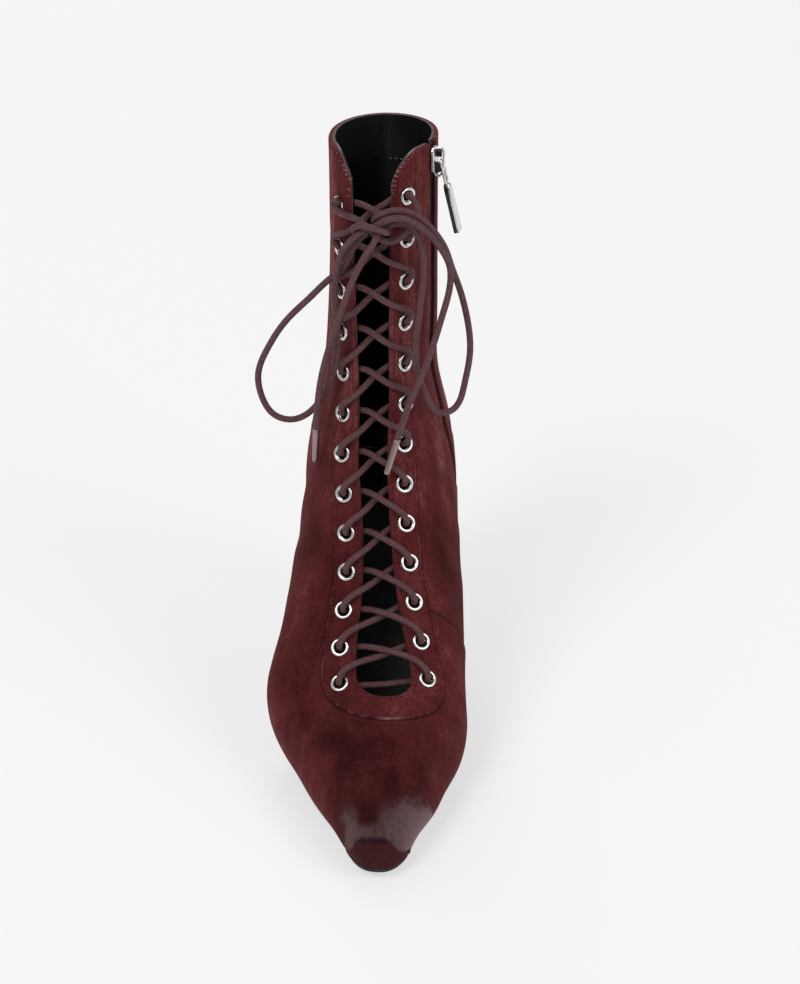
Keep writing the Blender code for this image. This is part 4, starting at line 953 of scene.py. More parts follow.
def crease_depth(along, round_it):
    """How far the suede sinks below the last, in metres, at places in millimetres along and round it."""
    depth = np.zeros_like(along)
    for a0, r0, a1, r1, width, deep in CREASES:
        line = np.array([a1 - a0, r1 - r0], float)
        size = np.hypot(*line)
        way = ((along - a0) * line[0] + (round_it - r0) * line[1]) / size ** 2
        off = ((along - a0) * line[1] - (round_it - r0) * line[0]) / size
        fade = np.clip(way * 3 + 0.6, 0, 1) * np.clip((1 - way) * 3 + 0.6, 0, 1)
        trough = np.exp(-(off / width) ** 2) - 0.55 * np.exp(-((off - 1.7 * width) / width) ** 2)
        depth += deep * fade ** 2 * trough
    for size, long_wave, round_wave, start in WAVER:
        depth += WAVER_DEPTH * size * np.sin(along / long_wave + round_it / round_wave + start)
    return depth * MM


print(len(CREASES), "creases")

# %% [markdown]
# Stitches, steps, worn edges and the painted highlights and shades beside them lie at set distances from an
# edge, so these are measured once for each point. They also calm the creases by the eyestay, the collar and the
# zip, where leather is stiffened.

# %% Distances over the upper


STAY_CALM, COLLAR_CALM, ZIP_CALM = 12 * MM, 30 * MM, 10 * MM


def rounding(distance, radius):
    """How far an edge has rounded off at a distance from its rim."""
    into = np.clip(1 - distance / radius, 0, 1)
    return radius * (1 - np.sqrt(1 - into ** 2))


def throat_distance():
    """How far each point is along its line from the throat's edge and from the eyestay's outer edge."""
    steps = np.linalg.norm(np.diff(SURFACE, axis=1), axis=2)
    length = np.concatenate([np.zeros((ROWS, 1)), np.cumsum(steps, 1)], 1)
    return length, length - length[:, STAY_COLUMN:STAY_COLUMN + 1]


FROM_THROAT, FROM_STAY = throat_distance()
ALONG = np.interp(AT, LAST.stations, LAST.ridge_length)
FROM_COLLAR = RIDGE - ALONG
ROUND = girth_of(AT, SHARE)
on_stay = np.clip(0.5 - FROM_STAY / (0.35 * MM), 0, 1)
calm = 0.25 + 0.75 * np.clip((FROM_STAY - 1 * MM) / STAY_CALM, 0, 1)
calm *= np.clip((FROM_COLLAR + 6 * MM) / COLLAR_CALM, 0.2, 1)
zip_rows = CORNER_ROWS + 2 + SHAFT_ROWS - 1
zip_middle = np.array([zip_way(at) * float(LAST.girth(at, 1)) for at in AT[:zip_rows, 0]])
calm[:zip_rows] *= np.clip((np.abs(ROUND[:zip_rows] - zip_middle[:, None]) - 8 * MM) / ZIP_CALM, 0.1, 1)
CREASE = crease_depth(ALONG / MM, ROUND / MM) * calm
print(f"creases sink {CREASE.max() / MM:.2f} mm at most and rise {-CREASE.min() / MM:.2f} mm")

# %% [markdown]
# The upper's wall has two skins that a maker would sew together: suede outside and thin black leather
# inside. Each is a closed shell between two heights over the last. The eyestay is a second layer of
# suede, so its edge is a real step in the outer skin, and the vamp laps over the inner quarter in a
# seam near the throat's foot. Cells over the zip's slot are left out, and so are those inside a hole.

# %% The seam's step and the eyelets' places
SUEDE_THICK = 0.0011
EDGE_ROUND = 0.0008
COLLAR_FOLD = 0.0012
HOLE_CLEAR = 0.00045
RIM_DROP = 0.0010


def seam_height():
    """The vamp laps over the inner quarter, and the step fades towards the toe."""
    fade = 1 - np.clip((SEAM_STATION - AT) / SEAM_FADE, 0, 1)
    lapped = (AT <= SEAM_STATION) & (SHARE > 0)
    return np.where(lapped, SEAM_RAISE * fade, 0) * np.clip(FROM_STAY / (0.5 * MM), 0, 1)


def eyelet_length(k, side):
    """Distance of an eyelet from the toe along the ridge. The spacing opens a little towards the collar."""
    first, last = VAMP_LENGTH + EYELET_FIRST, RIDGE - EYELET_LAST
    way = k / (EYELET_PAIRS - 1)
    return first + (last - first) * way - EYELET_EASE * 4 * way * (1 - way) + side * EYELET_STAGGER


@lru_cache
def eyelet_places():
    """Centre, outward and upward directions of each eyelet by (pair, side), its length along, and its side."""
    places = {}
    for k in range(EYELET_PAIRS):
        for side in (1, -1):
            length = eyelet_length(k, side)
            at = float(LAST.station(length))
            girth = float(LAST.girth(at, side))
            edge = throat_half_width(max(length - VAMP_LENGTH, THROAT_ROUND))
            share = side * (edge + EYELET_INSET) / girth
            centre, out = LAST.point(at, share), LAST.normal(at, share)
            up = LAST.point(at + MM, share) - LAST.point(at - MM, share)
            places[(k, side)] = (centre, out, unit(up - out * np.dot(up, out)), length, side)
    return places


print(len(eyelet_places()), "eyelets")

# %% [markdown]
# A hole could be cut with a boolean, but that leaves ragged faces. Here the grid's own points are pushed
# out to the hole's round edge and the cells inside it are left out.

# %% Holes for the eyelets


def hole_cells(points):
    """Moves grid points out of the eyelets' holes, and says which cells lie inside a hole."""
    points = points.copy()
    middle = (points[:-1, :-1] + points[1:, :-1] + points[:-1, 1:] + points[1:, 1:]) / 4
    inside = np.zeros(middle.shape[:2], bool)
    radius = EYELET_HOLE + HOLE_CLEAR
    for centre, out, *_ in eyelet_places().values():
        offset = middle - centre
        flat = offset - (offset @ out)[..., None] * out
        inside |= (np.linalg.norm(flat, axis=-1) < radius) & (np.linalg.norm(offset, axis=-1) < 4 * radius)
        offset = points - centre
        flat = offset - (offset @ out)[..., None] * out
        away = np.linalg.norm(flat, axis=-1)
        near = (away < radius) & (np.linalg.norm(offset, axis=-1) < 4 * radius) & (away > 1e-9)
        points[near] += flat[near] * (radius / away[near] - 1)[:, None]
    return points, inside


print("holes of", EYELET_HOLE + HOLE_CLEAR, "m")

# %% [markdown]
# A skin is two faces over the last, joined by a wall wherever an edge is open. Thickening a sheet with a
# modifier would be shorter, but its rim wouldn't sit on the sole, and masks would be lost at the edges.

# %% The faces of a skin, and its shell


def wall_layers(outer_height, inner_height, drop=0.0):
    """The outer and inner faces of a skin, seated on the sole at the rim or drawn down over its edge."""
    layers = []
    for height in (outer_height, inner_height):
        layer = SURFACE + OUT * (height - CREASE)[..., None]
        rim = (SURFACE[:, -1, 2] <= LAST.bed(SURFACE[:, -1, 1]) + 2 * GAP) | (AT[:, -1] < 0.5 * MM)
        layer[rim, -1, 2] = LAST.bed(layer[rim, -1, 1]) + GAP - drop
        layers.append(layer)
    return layers


def shell(name, outside, inside, present, material, attributes):
    """A closed skin between two grids, made only where a cell is present. Its back seam is joined."""
    count = ROWS * COLUMNS
    points = np.concatenate([outside.reshape(-1, 3), inside.reshape(-1, 3)])
    same = np.arange(2 * count).reshape(2, ROWS, COLUMNS)
    seam = np.nonzero(AT[:ROWS // 2, -1] >= LAST.seat)[0]
    for layer in (0, 1):
        same[layer, ROWS - 1 - seam, -1] = same[layer, seam, -1]
    r, c = np.nonzero(present)
    corner = np.stack([same[:, r, c], same[:, r, c + 1], same[:, r + 1, c + 1], same[:, r + 1, c]], -1)
    faces = [corner[0], corner[1][:, ::-1]]
    edges = np.concatenate([corner[0][:, [k, (k + 1) % 4]] for k in range(4)])
    known = {tuple(e) for e in edges.tolist()}
    open_edges = np.array([e for e in known if (e[1], e[0]) not in known and e[0] != e[1]])
    start, finish = open_edges.T
    faces.append(np.stack([finish, start, start + count, finish + count], -1))
    faces = np.concatenate(faces)
    used, index = np.unique(faces, return_inverse=True)
    made = new_object(name, points[used], index.reshape(faces.shape), material, angle=55)
    skin = np.concatenate([np.zeros(count), np.ones(count)])
    for label, grid in {**attributes, "skin": skin}.items():
        values = skin[used] if label == "skin" else np.tile(grid.ravel(), 2)[used]
        made.data.attributes.new(label, "FLOAT", "POINT").data.foreach_set("value", values.astype(np.float32))
    return made


print("wall helpers ready")

# %% [markdown]
# The outer skin has the eyestay's step, the seam's step and soft edges. At the collar the leather is
# folded over, so it is thicker there. Every distance becomes an attribute of the mesh for the materials.

# %% The grids of the two skins
present = np.ones((ROWS - 1, COLUMNS - 1), bool)
present[:zip_rows, ZIP_COLUMN:ZIP_COLUMN + GAP_CELLS] = False
outer = EYESTAY_RAISE * on_stay + seam_height()
outer = outer - rounding(FROM_COLLAR, EDGE_ROUND) - rounding(FROM_THROAT, EDGE_ROUND) * 0.9
fold = SUEDE_THICK + COLLAR_FOLD * np.clip(1 - FROM_COLLAR / (9 * MM), 0, 1) ** 1.5
outer_grid, inner_grid = wall_layers(outer, 0.1 * MM - fold, RIM_DROP)
outer_grid, holes = hole_cells(outer_grid)
inner_grid, _ = hole_cells(inner_grid)
front_edge = FROM_THROAT - FROM_THROAT[:, ZIP_COLUMN:ZIP_COLUMN + 1]
rear_edge = FROM_THROAT - FROM_THROAT[:, ZIP_COLUMN + GAP_CELLS:ZIP_COLUMN + GAP_CELLS + 1]
from_zip = np.full_like(rear_edge, 0.05)
from_zip[:zip_rows] = rear_edge[:zip_rows]
MASKS = {
    "from_zip": from_zip / MM,
    "from_seam": np.where((SHARE > 0) & (FROM_STAY > 0.3 * MM), ALONG - SEAM_ALONG, 0.05) / MM,
    "along": ALONG / MM, "round": ROUND / MM, "crease": CREASE / MM,
    "from_throat": FROM_THROAT / MM, "from_stay": FROM_STAY / MM, "from_collar": FROM_COLLAR / MM,
}
print("cells:", int(present.sum()), "in holes:", int(holes.sum()))

# %% [markdown]
# Suede is leather sanded to a short nap. It has hardly any gloss, a soft glow at grazing angles, and
# patches where the nap lies one way or the other. The glow is the shader's own sheen. The patches come
# from the shared mottle group, stretched along the boot, and the burnished toe from a mask with ragged
# edges, made from the distance along the ridge that the mesh carries as an attribute.

# %% The suede's colours
SUEDE_DARK = (0.0260, 0.0030, 0.0036)
SUEDE_MIDDLE = (0.0920, 0.0150, 0.0165)
SUEDE_LIGHT = (0.240, 0.0700, 0.0740)
CUT_EDGE = (0.230, 0.190, 0.190)
BURNISH = (0.030, 0.0070, 0.0095)
# A grey colour that paints the sheen reflected by the burnished toe.
PAINTED_SHEEN = (0.120, 0.0640, 0.0660)
TIP_COLOUR = (0.040, 0.0135, 0.0150)
# A dark colour that paints the shade along the edge over the tip.
TIP_EDGE_SHADE = (0.012, 0.006, 0.011)
# A pale colour for the worn nap on the eyestay's edge, which is also a painted highlight.
WORN_EDGE_HIGHLIGHT = (0.36, 0.25, 0.25)
ZIP_SHADE = (0.012, 0.0035, 0.0035)
THROAT_STITCH, STAY_STITCH = 0.0018, 0.0015
print("colours set")

# %% [markdown]
# Most details of the suede lie at a known distance from an edge. A band picks such a distance, and
# products and weighted sums join masks. An image could hold all this, but it would blur and would need
# unwrapping.

# %% Masks for the suede


def band(tree, value, middle, half_width, soft):
    """1 within a half width of the middle and 0 beyond a soft border."""
    off = math_node(tree, "ABSOLUTE", math_node(tree, "SUBTRACT", value, middle))
    return fall(tree, off, half_width, half_width + soft)


def product(tree, *factors):
    value = factors[0]
    for factor in factors[1:]:
        value = math_node(tree, "MULTIPLY", value, factor)
    return value


def weighted(tree, *pairs):
    """The sum of values, each times its weight."""
    total = 0.0
    for value, weight in pairs:
        node = add(tree, "ShaderNodeMath", {0: value, 1: weight, 2: total}, operation="MULTIPLY_ADD")
        total = node.outputs[0]
    return total


print("mask helpers ready")

# %% [markdown]
# The toe is burnished smooth and dark, with a painted sheen over it for the light that its gloss reflects, a
# patch of dark nap left in the middle and a thin line of painted shade along the edge over the tip. The border
# is ragged, because the nap wears off in tufts: noise is added to the distance before the ramp, and not to the
# colour after it.

# %% The burnished toe


def burnish_masks(tree, small, speck):
    """Where the toe is burnished, its painted sheen, the dark nap left in it and the painted shade along the
    edge over the tip.
    """
    along, round_it = attribute(tree, "along"), attribute(tree, "round")
    to_side = math_node(tree, "ABSOLUTE", math_node(tree, "ADD", round_it, 1.0))
    ragged = weighted(tree, (along, 1.0), (ramp(tree, round_it, 3.0, 13.0), -6.0),
                      (ramp(tree, round_it, -6.0, -15.0), 2.5), (small, 8.0), (speck, 7.0))
    burnt = fall(tree, ragged, 29.0, 41.0)
    tongue = product(tree, band(tree, round_it, -4.0, 2.0, 5.0),
                     ramp(tree, weighted(tree, (along, 1.0), (small, 3.0), (speck, 2.0)), 18.0, 24.0))
    outside = ramp(tree, weighted(tree, (round_it, -1.0), (small, 4.0), (speck, 3.0)), 17.0, 24.0)
    burnt = product(tree, burnt, math_node(tree, "SUBTRACT", 1.0, math_node(tree, "MAXIMUM", tongue, outside)))
    front = weighted(tree, (along, 1.0), (small, 1.2), (ramp(tree, to_side, 4.0, 15.0), 7.0))
    burnt = product(tree, burnt, ramp(tree, front, 11.2, 14.5))
    # Painted sheen: where the burnished toe is painted grey for the light it reflects.
    painted_sheen = ramp(tree, weighted(tree, (to_side, 0.040), (speck, 0.55), (small, 0.45)), 0.05, 1.55)
    painted_sheen = product(tree, burnt, painted_sheen)
    # Painted shade: a thin dark line along the edge where the toe's top turns into its front.
    line = product(tree, band(tree, along, 11.2, 0.5, 1.2), band(tree, round_it, -1.0, 4.0, 6.0))
    return burnt, painted_sheen, tongue, line


print("burnish ready")

# %% [markdown]
# Tone comes first: broad patches, specks, painted shade in the creases with painted highlights on their ridges,
# painted light on the sides and, on the shaft, hanging streaks that are partly painted fold highlights. Then
# come the toe with its painted sheen, the painted shade in each seam and beside the zip, the worn edges with
# their painted highlights and the cut edges. The nap is two sizes of grain in the bump.

# %% The suede's material


def suede_material():
    made, tree, shader = new_material(
        "suede", 0.95, Sheen_Weight=0.08, Sheen_Roughness=0.5, Specular_IOR_Level=0.07)
    shader["Sheen Tint"].default_value = (1.0, 0.40, 0.40, 1)
    place = object_place(tree)
    stretched = add(tree, "ShaderNodeMapping", {"Vector": place, "Scale": (1.0, 0.7, 0.35)}).outputs["Vector"]
    hanging = add(tree, "ShaderNodeMapping", {"Vector": place, "Scale": (1.0, 1.0, 0.10)}).outputs["Vector"]
    broad, small, speck, streaks_and_fold_highlights = (
        use_group(tree, MOTTLE, {
            "Vector": vector, "Patch Scale": patch, "Streak Scale": streak, "Streak Share": share})["Mask"]
        for vector, patch, streak, share in (
            (stretched, 26.0, 85.0, 0.4), (stretched, 170.0, 520.0, 0.5), (place, 1100.0, 2300.0, 0.5),
            (hanging, 95.0, 330.0, 0.5)))
    along, round_it, from_stay, from_throat, from_collar, from_seam, from_zip, crease, skin = (
        attribute(tree, name) for name in (
            "along", "round", "from_stay", "from_throat", "from_collar", "from_seam", "from_zip",
            "crease", "skin"))
    shaft = ramp(tree, along, 150.0, 215.0)
    vamp = product(tree, fall(tree, from_stay, 4.0, -2.0), fall(tree, along, 72.0, 92.0))
    off_middle = math_node(tree, "ABSOLUTE", round_it)
    middle = fall(tree, off_middle, 12.0, 36.0)
    # Painted light in the tone: creases are painted darker and their ridges lighter, the sides far from the
    # ridge are painted lighter, and the shaft's hanging streaks are random nap that also paints fold
    # highlights.
    tone = weighted(tree, (broad, 0.42), (small, 0.24), (speck, 0.46), (product(tree, streaks_and_fold_highlights, shaft), 0.34),
                    (crease, -0.30), (1.0, -0.11), (product(tree, vamp, middle), -0.30),
                    (ramp(tree, off_middle, 30.0, 48.0), 0.10))
    colour = mix_colour(tree, ramp(tree, tone, -0.12, 0.66), SUEDE_DARK, SUEDE_MIDDLE)
    colour = mix_colour(tree, ramp(tree, tone, 0.55, 1.2), colour, SUEDE_LIGHT)
    burnt, painted_sheen, tongue, tip_edge_shade = burnish_masks(tree, small, speck)
    near_toe = fall(tree, along, 26.0, 34.0)
    colour = mix_colour(tree, product(tree, tongue, near_toe, 0.8), colour, SUEDE_DARK)
    colour = mix_colour(tree, product(tree, fall(tree, along, 9.0, 13.0), 0.6), colour, TIP_COLOUR)
    colour = mix_colour(tree, burnt, colour, mix_colour(tree, painted_sheen, BURNISH, PAINTED_SHEEN))
    colour = mix_colour(tree, product(tree, tip_edge_shade, 0.75), colour, TIP_EDGE_SHADE)
    # Painted shade: thin dark lines below the eyestay's step, along the eyestay's and the throat's stitch rows,
    # and beside the vamp's lapped seam.
    lines = math_node(tree, "MAXIMUM", band(tree, from_stay, 0.25, 0.15, 0.7),
                      product(tree, band(tree, from_stay, -STAY_STITCH / MM, 0.1, 0.5), 0.5))
    lines = math_node(tree, "MAXIMUM", lines, product(
        tree, band(tree, from_throat, THROAT_STITCH / MM, 0.1, 0.5), 0.5))
    lines = math_node(tree, "MAXIMUM", lines, band(tree, from_seam, 0.6, 0.1, 0.9))
    colour = mix_colour(tree, product(tree, lines, 0.7), colour, tuple(0.4 * c for c in SUEDE_DARK))
    # The eyestay's outer rim, and its edge at the throat's foot most of all, are painted lighter: worn nap and
    # a painted highlight together.
    rubbed_rim_and_highlight = product(tree, band(tree, from_stay, -0.25, 0.2, 0.4), ramp(tree, small, 0.35, 0.9))
    colour = mix_colour(tree, product(tree, rubbed_rim_and_highlight, 0.5), colour, SUEDE_LIGHT)
    worn_edge_and_highlight = product(tree, band(tree, from_stay, -0.2, 0.12, 0.4), band(tree, round_it, 2.0, 1.0, 7.0),
                   fall(tree, along, 84.0, 90.0), ramp(tree, small, 0.0, 0.9))
    colour = mix_colour(tree, product(tree, worn_edge_and_highlight, 0.35), colour, WORN_EDGE_HIGHLIGHT)
    fades = weighted(tree, (ramp(tree, from_collar, 75.0, 100.0), -0.35), (1.0, 0.75))
    colour = mix_colour(tree, product(tree, band(tree, from_zip, 3.0, 2.8, 2.5), fades), colour, ZIP_SHADE)
    at_edge = math_node(tree, "MINIMUM", from_collar, from_throat)
    cut = product(tree, ramp(tree, skin, 0.82, 0.90), fall(tree, at_edge, 1.0, 2.5))
    colour = mix_colour(tree, cut, colour, CUT_EDGE)
    tree.links.new(colour, shader["Base Color"])
    tree.links.new(weighted(tree, (burnt, -0.45), (1.0, 0.95)), shader["Roughness"])
    tree.links.new(weighted(tree, (burnt, 0.16), (1.0, 0.07)), shader["Specular IOR Level"])
    soft = use_group(tree, GRAIN, {"Vector": place, "Scale": 420.0, "Depth": 0.00030})
    nap = use_group(tree, GRAIN, {"Vector": place, "Scale": 2600.0, "Depth": 0.00022, "Normal": soft["Normal"]})
    tree.links.new(nap["Normal"], shader["Normal"])
    return made


print("suede ready")

# %% [markdown]
# Lining, sole and heel tip are smooth. One function makes them all, with faint patches and a fine grain, and
# the lining gets its seam below the collar, with painted shade in the groove and a band above it painted
# lighter, as painted light.

# %% Smooth leather
LEATHER_GRAIN = 1500.0
LEATHER_DEPTH = 0.00008


def leather_material(name, colour, roughness, coat=0.0, seam=False):
    """Smooth finished leather: slight tone changes and a fine grain, and the lining's seam where asked."""
    made, tree, shader = new_material(name, roughness, Coat_Weight=coat, Coat_Roughness=0.35)
    place = object_place(tree)
    mask = use_group(tree, MOTTLE, {"Vector": place, "Patch Scale": 60.0, "Streak Scale": 420.0})["Mask"]
    tone = mix_colour(tree, mask, colour, tuple(1.7 * c for c in colour))
    if seam:
        from_collar = attribute(tree, "from_collar")
        # Painted light: the lining above its seam is painted lighter. Painted shade: the seam's groove is
        # painted near black.
        tone = mix_colour(tree, ramp(tree, from_collar, LINING_SEAM / MM - 0.3, LINING_SEAM / MM + 0.3),
                          tuple(2.4 * c for c in colour), tone)
        groove_shade = band(tree, from_collar, LINING_SEAM / MM, 0.2, 0.4)
        tone = mix_colour(tree, groove_shade, tone, (0.001, 0.001, 0.001))
    tree.links.new(tone, shader["Base Color"])
    rough = add(tree, "ShaderNodeMapRange", {
        "Value": mask, "To Min": roughness * 0.85, "To Max": min(roughness * 1.25, 1)})
    tree.links.new(rough.outputs["Result"], shader["Roughness"])
    wide = use_group(tree, GRAIN, {"Vector": place, "Scale": LEATHER_GRAIN / 5, "Depth": LEATHER_DEPTH * 3})
    grain = use_group(tree, GRAIN, {
        "Vector": place, "Scale": LEATHER_GRAIN, "Depth": LEATHER_DEPTH, "Normal": wide["Normal"]})
    tree.links.new(grain["Normal"], shader["Normal"])
    return made


print("leather ready")

# %% [markdown]
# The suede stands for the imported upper, and the lining is its own mesh just inside, so the wall shows two
# leathers at every edge.

# %% Make the two skins
SUEDE = suede_material()
LINING_SEAM = 0.0187
LINING = leather_material("lining_leather", (0.0028, 0.0029, 0.0033), 0.42, coat=0.08, seam=True)
suede = shell("upper_suede", outer_grid, inner_grid, present & ~holes, SUEDE, MASKS)
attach(suede, "boot")
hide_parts("upper")

lining_out, lining_in = wall_layers(-fold, SUEDE_THICK - WALL - fold)
lining_out, lining_holes = hole_cells(lining_out)
lining_in, _ = hole_cells(lining_in)
lining = shell("upper_lining", lining_out, lining_in, present & ~lining_holes, LINING, MASKS)
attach(lining, "boot")
print("suede", len(suede.data.polygons), "faces; lining", len(lining.data.polygons))

# %% [markdown]
# Geometry Nodes make the pieces that repeat. These helpers open a tree with named inputs, end it with
# real geometry and its material, and run it on a mesh of points or lines. The result is kept as a plain
# mesh without its modifier, so that every tool sees the same shape.

# %% Helpers for Geometry Nodes
GEOMETRY, MATERIAL, INTEGER = "NodeSocketGeometry", "NodeSocketMaterial", "NodeSocketInt"


def new_nodes_tree(name, inputs):
    """An empty Geometry Nodes tree with named inputs, and its two end nodes' sockets."""
    tree = bpy.data.node_groups.new(name, "GeometryNodeTree")
    tree.interface.new_socket("Geometry", in_out="INPUT", socket_type=GEOMETRY)
    for label, kind, value in inputs:
        socket = tree.interface.new_socket(label, in_out="INPUT", socket_type=kind)
        if value is not None:
            socket.default_value = value
    tree.interface.new_socket("Geometry", in_out="OUTPUT", socket_type=GEOMETRY)
    return tree, tree.nodes.new("NodeGroupInput").outputs, tree.nodes.new("NodeGroupOutput").inputs


def end_tree(tree, shape, material, out):
    """The tree's last nodes: real geometry in place of instances, shaded smooth, with its material."""
    real = add(tree, "GeometryNodeRealizeInstances", {0: shape}).outputs[0]
    smooth = add(tree, "GeometryNodeSetShadeSmooth", {"Geometry": real}).outputs[0]
    done = add(tree, "GeometryNodeSetMaterial", {"Geometry": smooth, "Material": material}).outputs[0]
    tree.links.new(done, out["Geometry"])


def grown(name, tree, start, values):
    """Runs a tree on a mesh, with inputs by name, and keeps the result as a plain mesh object."""
    made = bpy.data.objects.new(name, start)
    bpy.context.scene.collection.objects.link(made)
    modifier = made.modifiers.new(tree.name, "NODES")
    modifier.node_group = tree
    for item in tree.interface.items_tree:
        if item.in_out == "INPUT" and item.name in values:
            modifier[item.identifier] = values[item.name]
    view = bpy.context.evaluated_depsgraph_get()
    mesh = bpy.data.meshes.new_from_object(made.evaluated_get(view), depsgraph=view)
    made.modifiers.clear()
    made.data = mesh
    mesh.name = name
    return made


def line_mesh(name, points, normals, runs=None):
    """Points with an out attribute, joined into lines where runs gives each line's length."""
    mesh = bpy.data.meshes.new(name)
    edges, start = [], 0
    for count in runs or ():
        edges += [(start + i, start + i + 1) for i in range(count - 1)]
        start += count
    mesh.from_pydata(np.asarray(points).tolist(), edges, [])
    mesh.attributes.new("out", "FLOAT_VECTOR", "POINT").data.foreach_set(
        "vector", np.asarray(normals, np.float32).ravel())
    return mesh


def facing(tree, direction, rotation=None, axis="Z", pivot="AUTO"):
    wires = {"Vector": direction}
    if rotation is not None:
        wires["Rotation"] = rotation
    return add(tree, "FunctionNodeAlignRotationToVector", wires, axis=axis, pivot_axis=pivot).outputs[0]


def named_vector(tree, name):
    return add(tree, "GeometryNodeInputNamedAttribute", {"Name": name}, data_type="FLOAT_VECTOR").outputs[0]


print("Geometry Nodes helpers ready")

# %% [markdown]
# An eyelet is a thin metal tube with its mouth rolled over the suede. The tree sweeps a small oval round
# a circle for the roll, adds a short barrel below it, and sets one such ring on each point, facing the
# way that the point's attribute says.

# %% A tree for the eyelets


def eyelet_tree():
    tree, given, out = new_nodes_tree("eyelets", [
        ("Ring Radius", FLOAT, 0.003), ("Roll Width", FLOAT, 0.0011), ("Roll Height", FLOAT, 0.0005),
        ("Barrel Radius", FLOAT, 0.0021), ("Barrel Depth", FLOAT, 0.003), ("Sides", INTEGER, 40),
        ("Material", MATERIAL, None)])
    path = add(tree, "GeometryNodeCurvePrimitiveCircle", {
        "Radius": given["Ring Radius"], "Resolution": given["Sides"]}).outputs["Curve"]
    profile = add(tree, "GeometryNodeCurvePrimitiveCircle", {"Radius": 1.0, "Resolution": 14}).outputs["Curve"]
    size = add(tree, "ShaderNodeCombineXYZ", {
        0: given["Roll Width"], 1: given["Roll Height"], 2: 1.0}).outputs[0]
    profile = add(tree, "GeometryNodeTransform", {"Geometry": profile, "Scale": size}).outputs[0]
    roll = add(tree, "GeometryNodeCurveToMesh", {"Curve": path, "Profile Curve": profile}).outputs[0]
    barrel = add(tree, "GeometryNodeMeshCylinder", {
        "Vertices": given["Sides"], "Radius": given["Barrel Radius"], "Depth": given["Barrel Depth"]},
        fill_type="NONE").outputs["Mesh"]
    half = math_node(tree, "MULTIPLY", given["Barrel Depth"], -0.5)
    drop = add(tree, "ShaderNodeCombineXYZ", {2: half}).outputs[0]
    barrel = add(tree, "GeometryNodeTransform", {"Geometry": barrel, "Translation": drop}).outputs[0]
    wall = add(tree, "GeometryNodeExtrudeMesh", {"Mesh": barrel, "Offset Scale": 0.0002, "Individual": False})
    shape = add(tree, "GeometryNodeJoinGeometry")
    for part in (roll, wall.outputs[0]):
        tree.links.new(part, shape.inputs[0])
    points = add(tree, "GeometryNodeInstanceOnPoints", {
        "Points": given["Geometry"], "Instance": shape.outputs[0],
        "Rotation": facing(tree, named_vector(tree, "out"))}).outputs[0]
    end_tree(tree, points, given["Material"], out)
    return tree


print("eyelet tree ready")

# %% [markdown]
# The 26 points come from the same places as the holes. The barrel is kept under the roll, so that the
# hole looks dark and clean with the lace in it.

# %% Make the eyelets
RING_INSET, RING_LIFT = 0.74 * MM, 0.42 * MM
ROLL_WIDTH, ROLL_HEIGHT, BARREL_DEPTH = 0.72 * MM, 0.50 * MM, 0.75 * MM
lift = EYESTAY_RAISE + RING_LIFT
centres = np.array([centre + out * lift for centre, out, *_ in eyelet_places().values()])
faces_out = np.array([out for _, out, *_ in eyelet_places().values()])
eyelets = grown("eyelets", eyelet_tree(), line_mesh("eyelet_points", centres, faces_out), {
    "Ring Radius": EYELET_RADIUS - RING_INSET, "Roll Width": ROLL_WIDTH, "Roll Height": ROLL_HEIGHT,
    "Barrel Radius": EYELET_HOLE + 0.10 * MM, "Barrel Depth": BARREL_DEPTH, "Material": NICKEL})
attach(eyelets, "boot")
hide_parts(*[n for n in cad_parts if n.startswith("eyelet_")])
print("eyelets", len(eyelets.data.polygons), "faces")

# %% [markdown]
# The lace starts with a straight run behind the lowest pair of eyelets. From there each half comes up
# through an eyelet, crosses the throat over its own edge, dives under the far edge and comes up through
# the next eyelet of that side. One path for each half is worked out from the eyelets' own places.

# %% How the lace crosses the throat
LACE_CLEAR = LACE / 2 + GAP + 0.2 * MM
OVER = EYESTAY_RAISE + LACE / 2 + 0.1 * MM
# Shares of the rise to the next eyelet at the near edge, the throat's middle and the far edge
RISE = {1: (0.62, 0.90, 1.03), -1: (0.36, 0.62, 0.85)}
CURL_FROM = {1: 4, -1: 7}


def throat_spot(near, far, share, height):
    """A point beside the throat's edge, part of the way from one eyelet's height to the other's."""
    up_throat = near[3] * (1 - share) + far[3] * share - VAMP_LENGTH
    at = float(LAST.station(VAMP_LENGTH + up_throat))
    half = near[4] * throat_half_width(max(up_throat, THROAT_ROUND)) / float(LAST.girth(at, near[4]))
    return LAST.point(at, half) + LAST.normal(at, half) * height


def through(place, source, target, curl):
    """The lace's way up through an eyelet, from one spot inside towards the next, curled round its top."""
    centre, out, up, _, side = place
    came, leaves = (unit(spot - centre - out * np.dot(spot - centre, out)) for spot in (source, target))
    away = side * np.cross(up, out)
    straight = 1 - curl
    return [
        centre - out * 2.7 * MM + came * 1.4 * MM,
        centre - out * 0.4 * MM - leaves * 0.3 * MM,
        centre + out * 1.7 * MM + (leaves * 0.4 * straight + (away * 1.0 + up * 0.7) * curl) * MM,
        centre + out * 3.2 * MM + (leaves * 2.6 * straight + (away * 1.6 + up * 3.4) * curl) * MM,
    ]


def crossing(start, finish):
    """From one eyelet over the throat to just before the next eyelet of the other side."""
    rise = RISE[start[4]]
    under = -WALL - LACE_CLEAR
    middle = (throat_spot(start, finish, rise[1], OVER) + throat_spot(finish, start, 1 - rise[1], under)) / 2
    lift = unit((start[1] + finish[1]) / 2)
    return (throat_spot(start, finish, rise[0], OVER), middle + lift * start[4] * 0.5 * LACE,
            throat_spot(finish, start, 1 - rise[2], under))


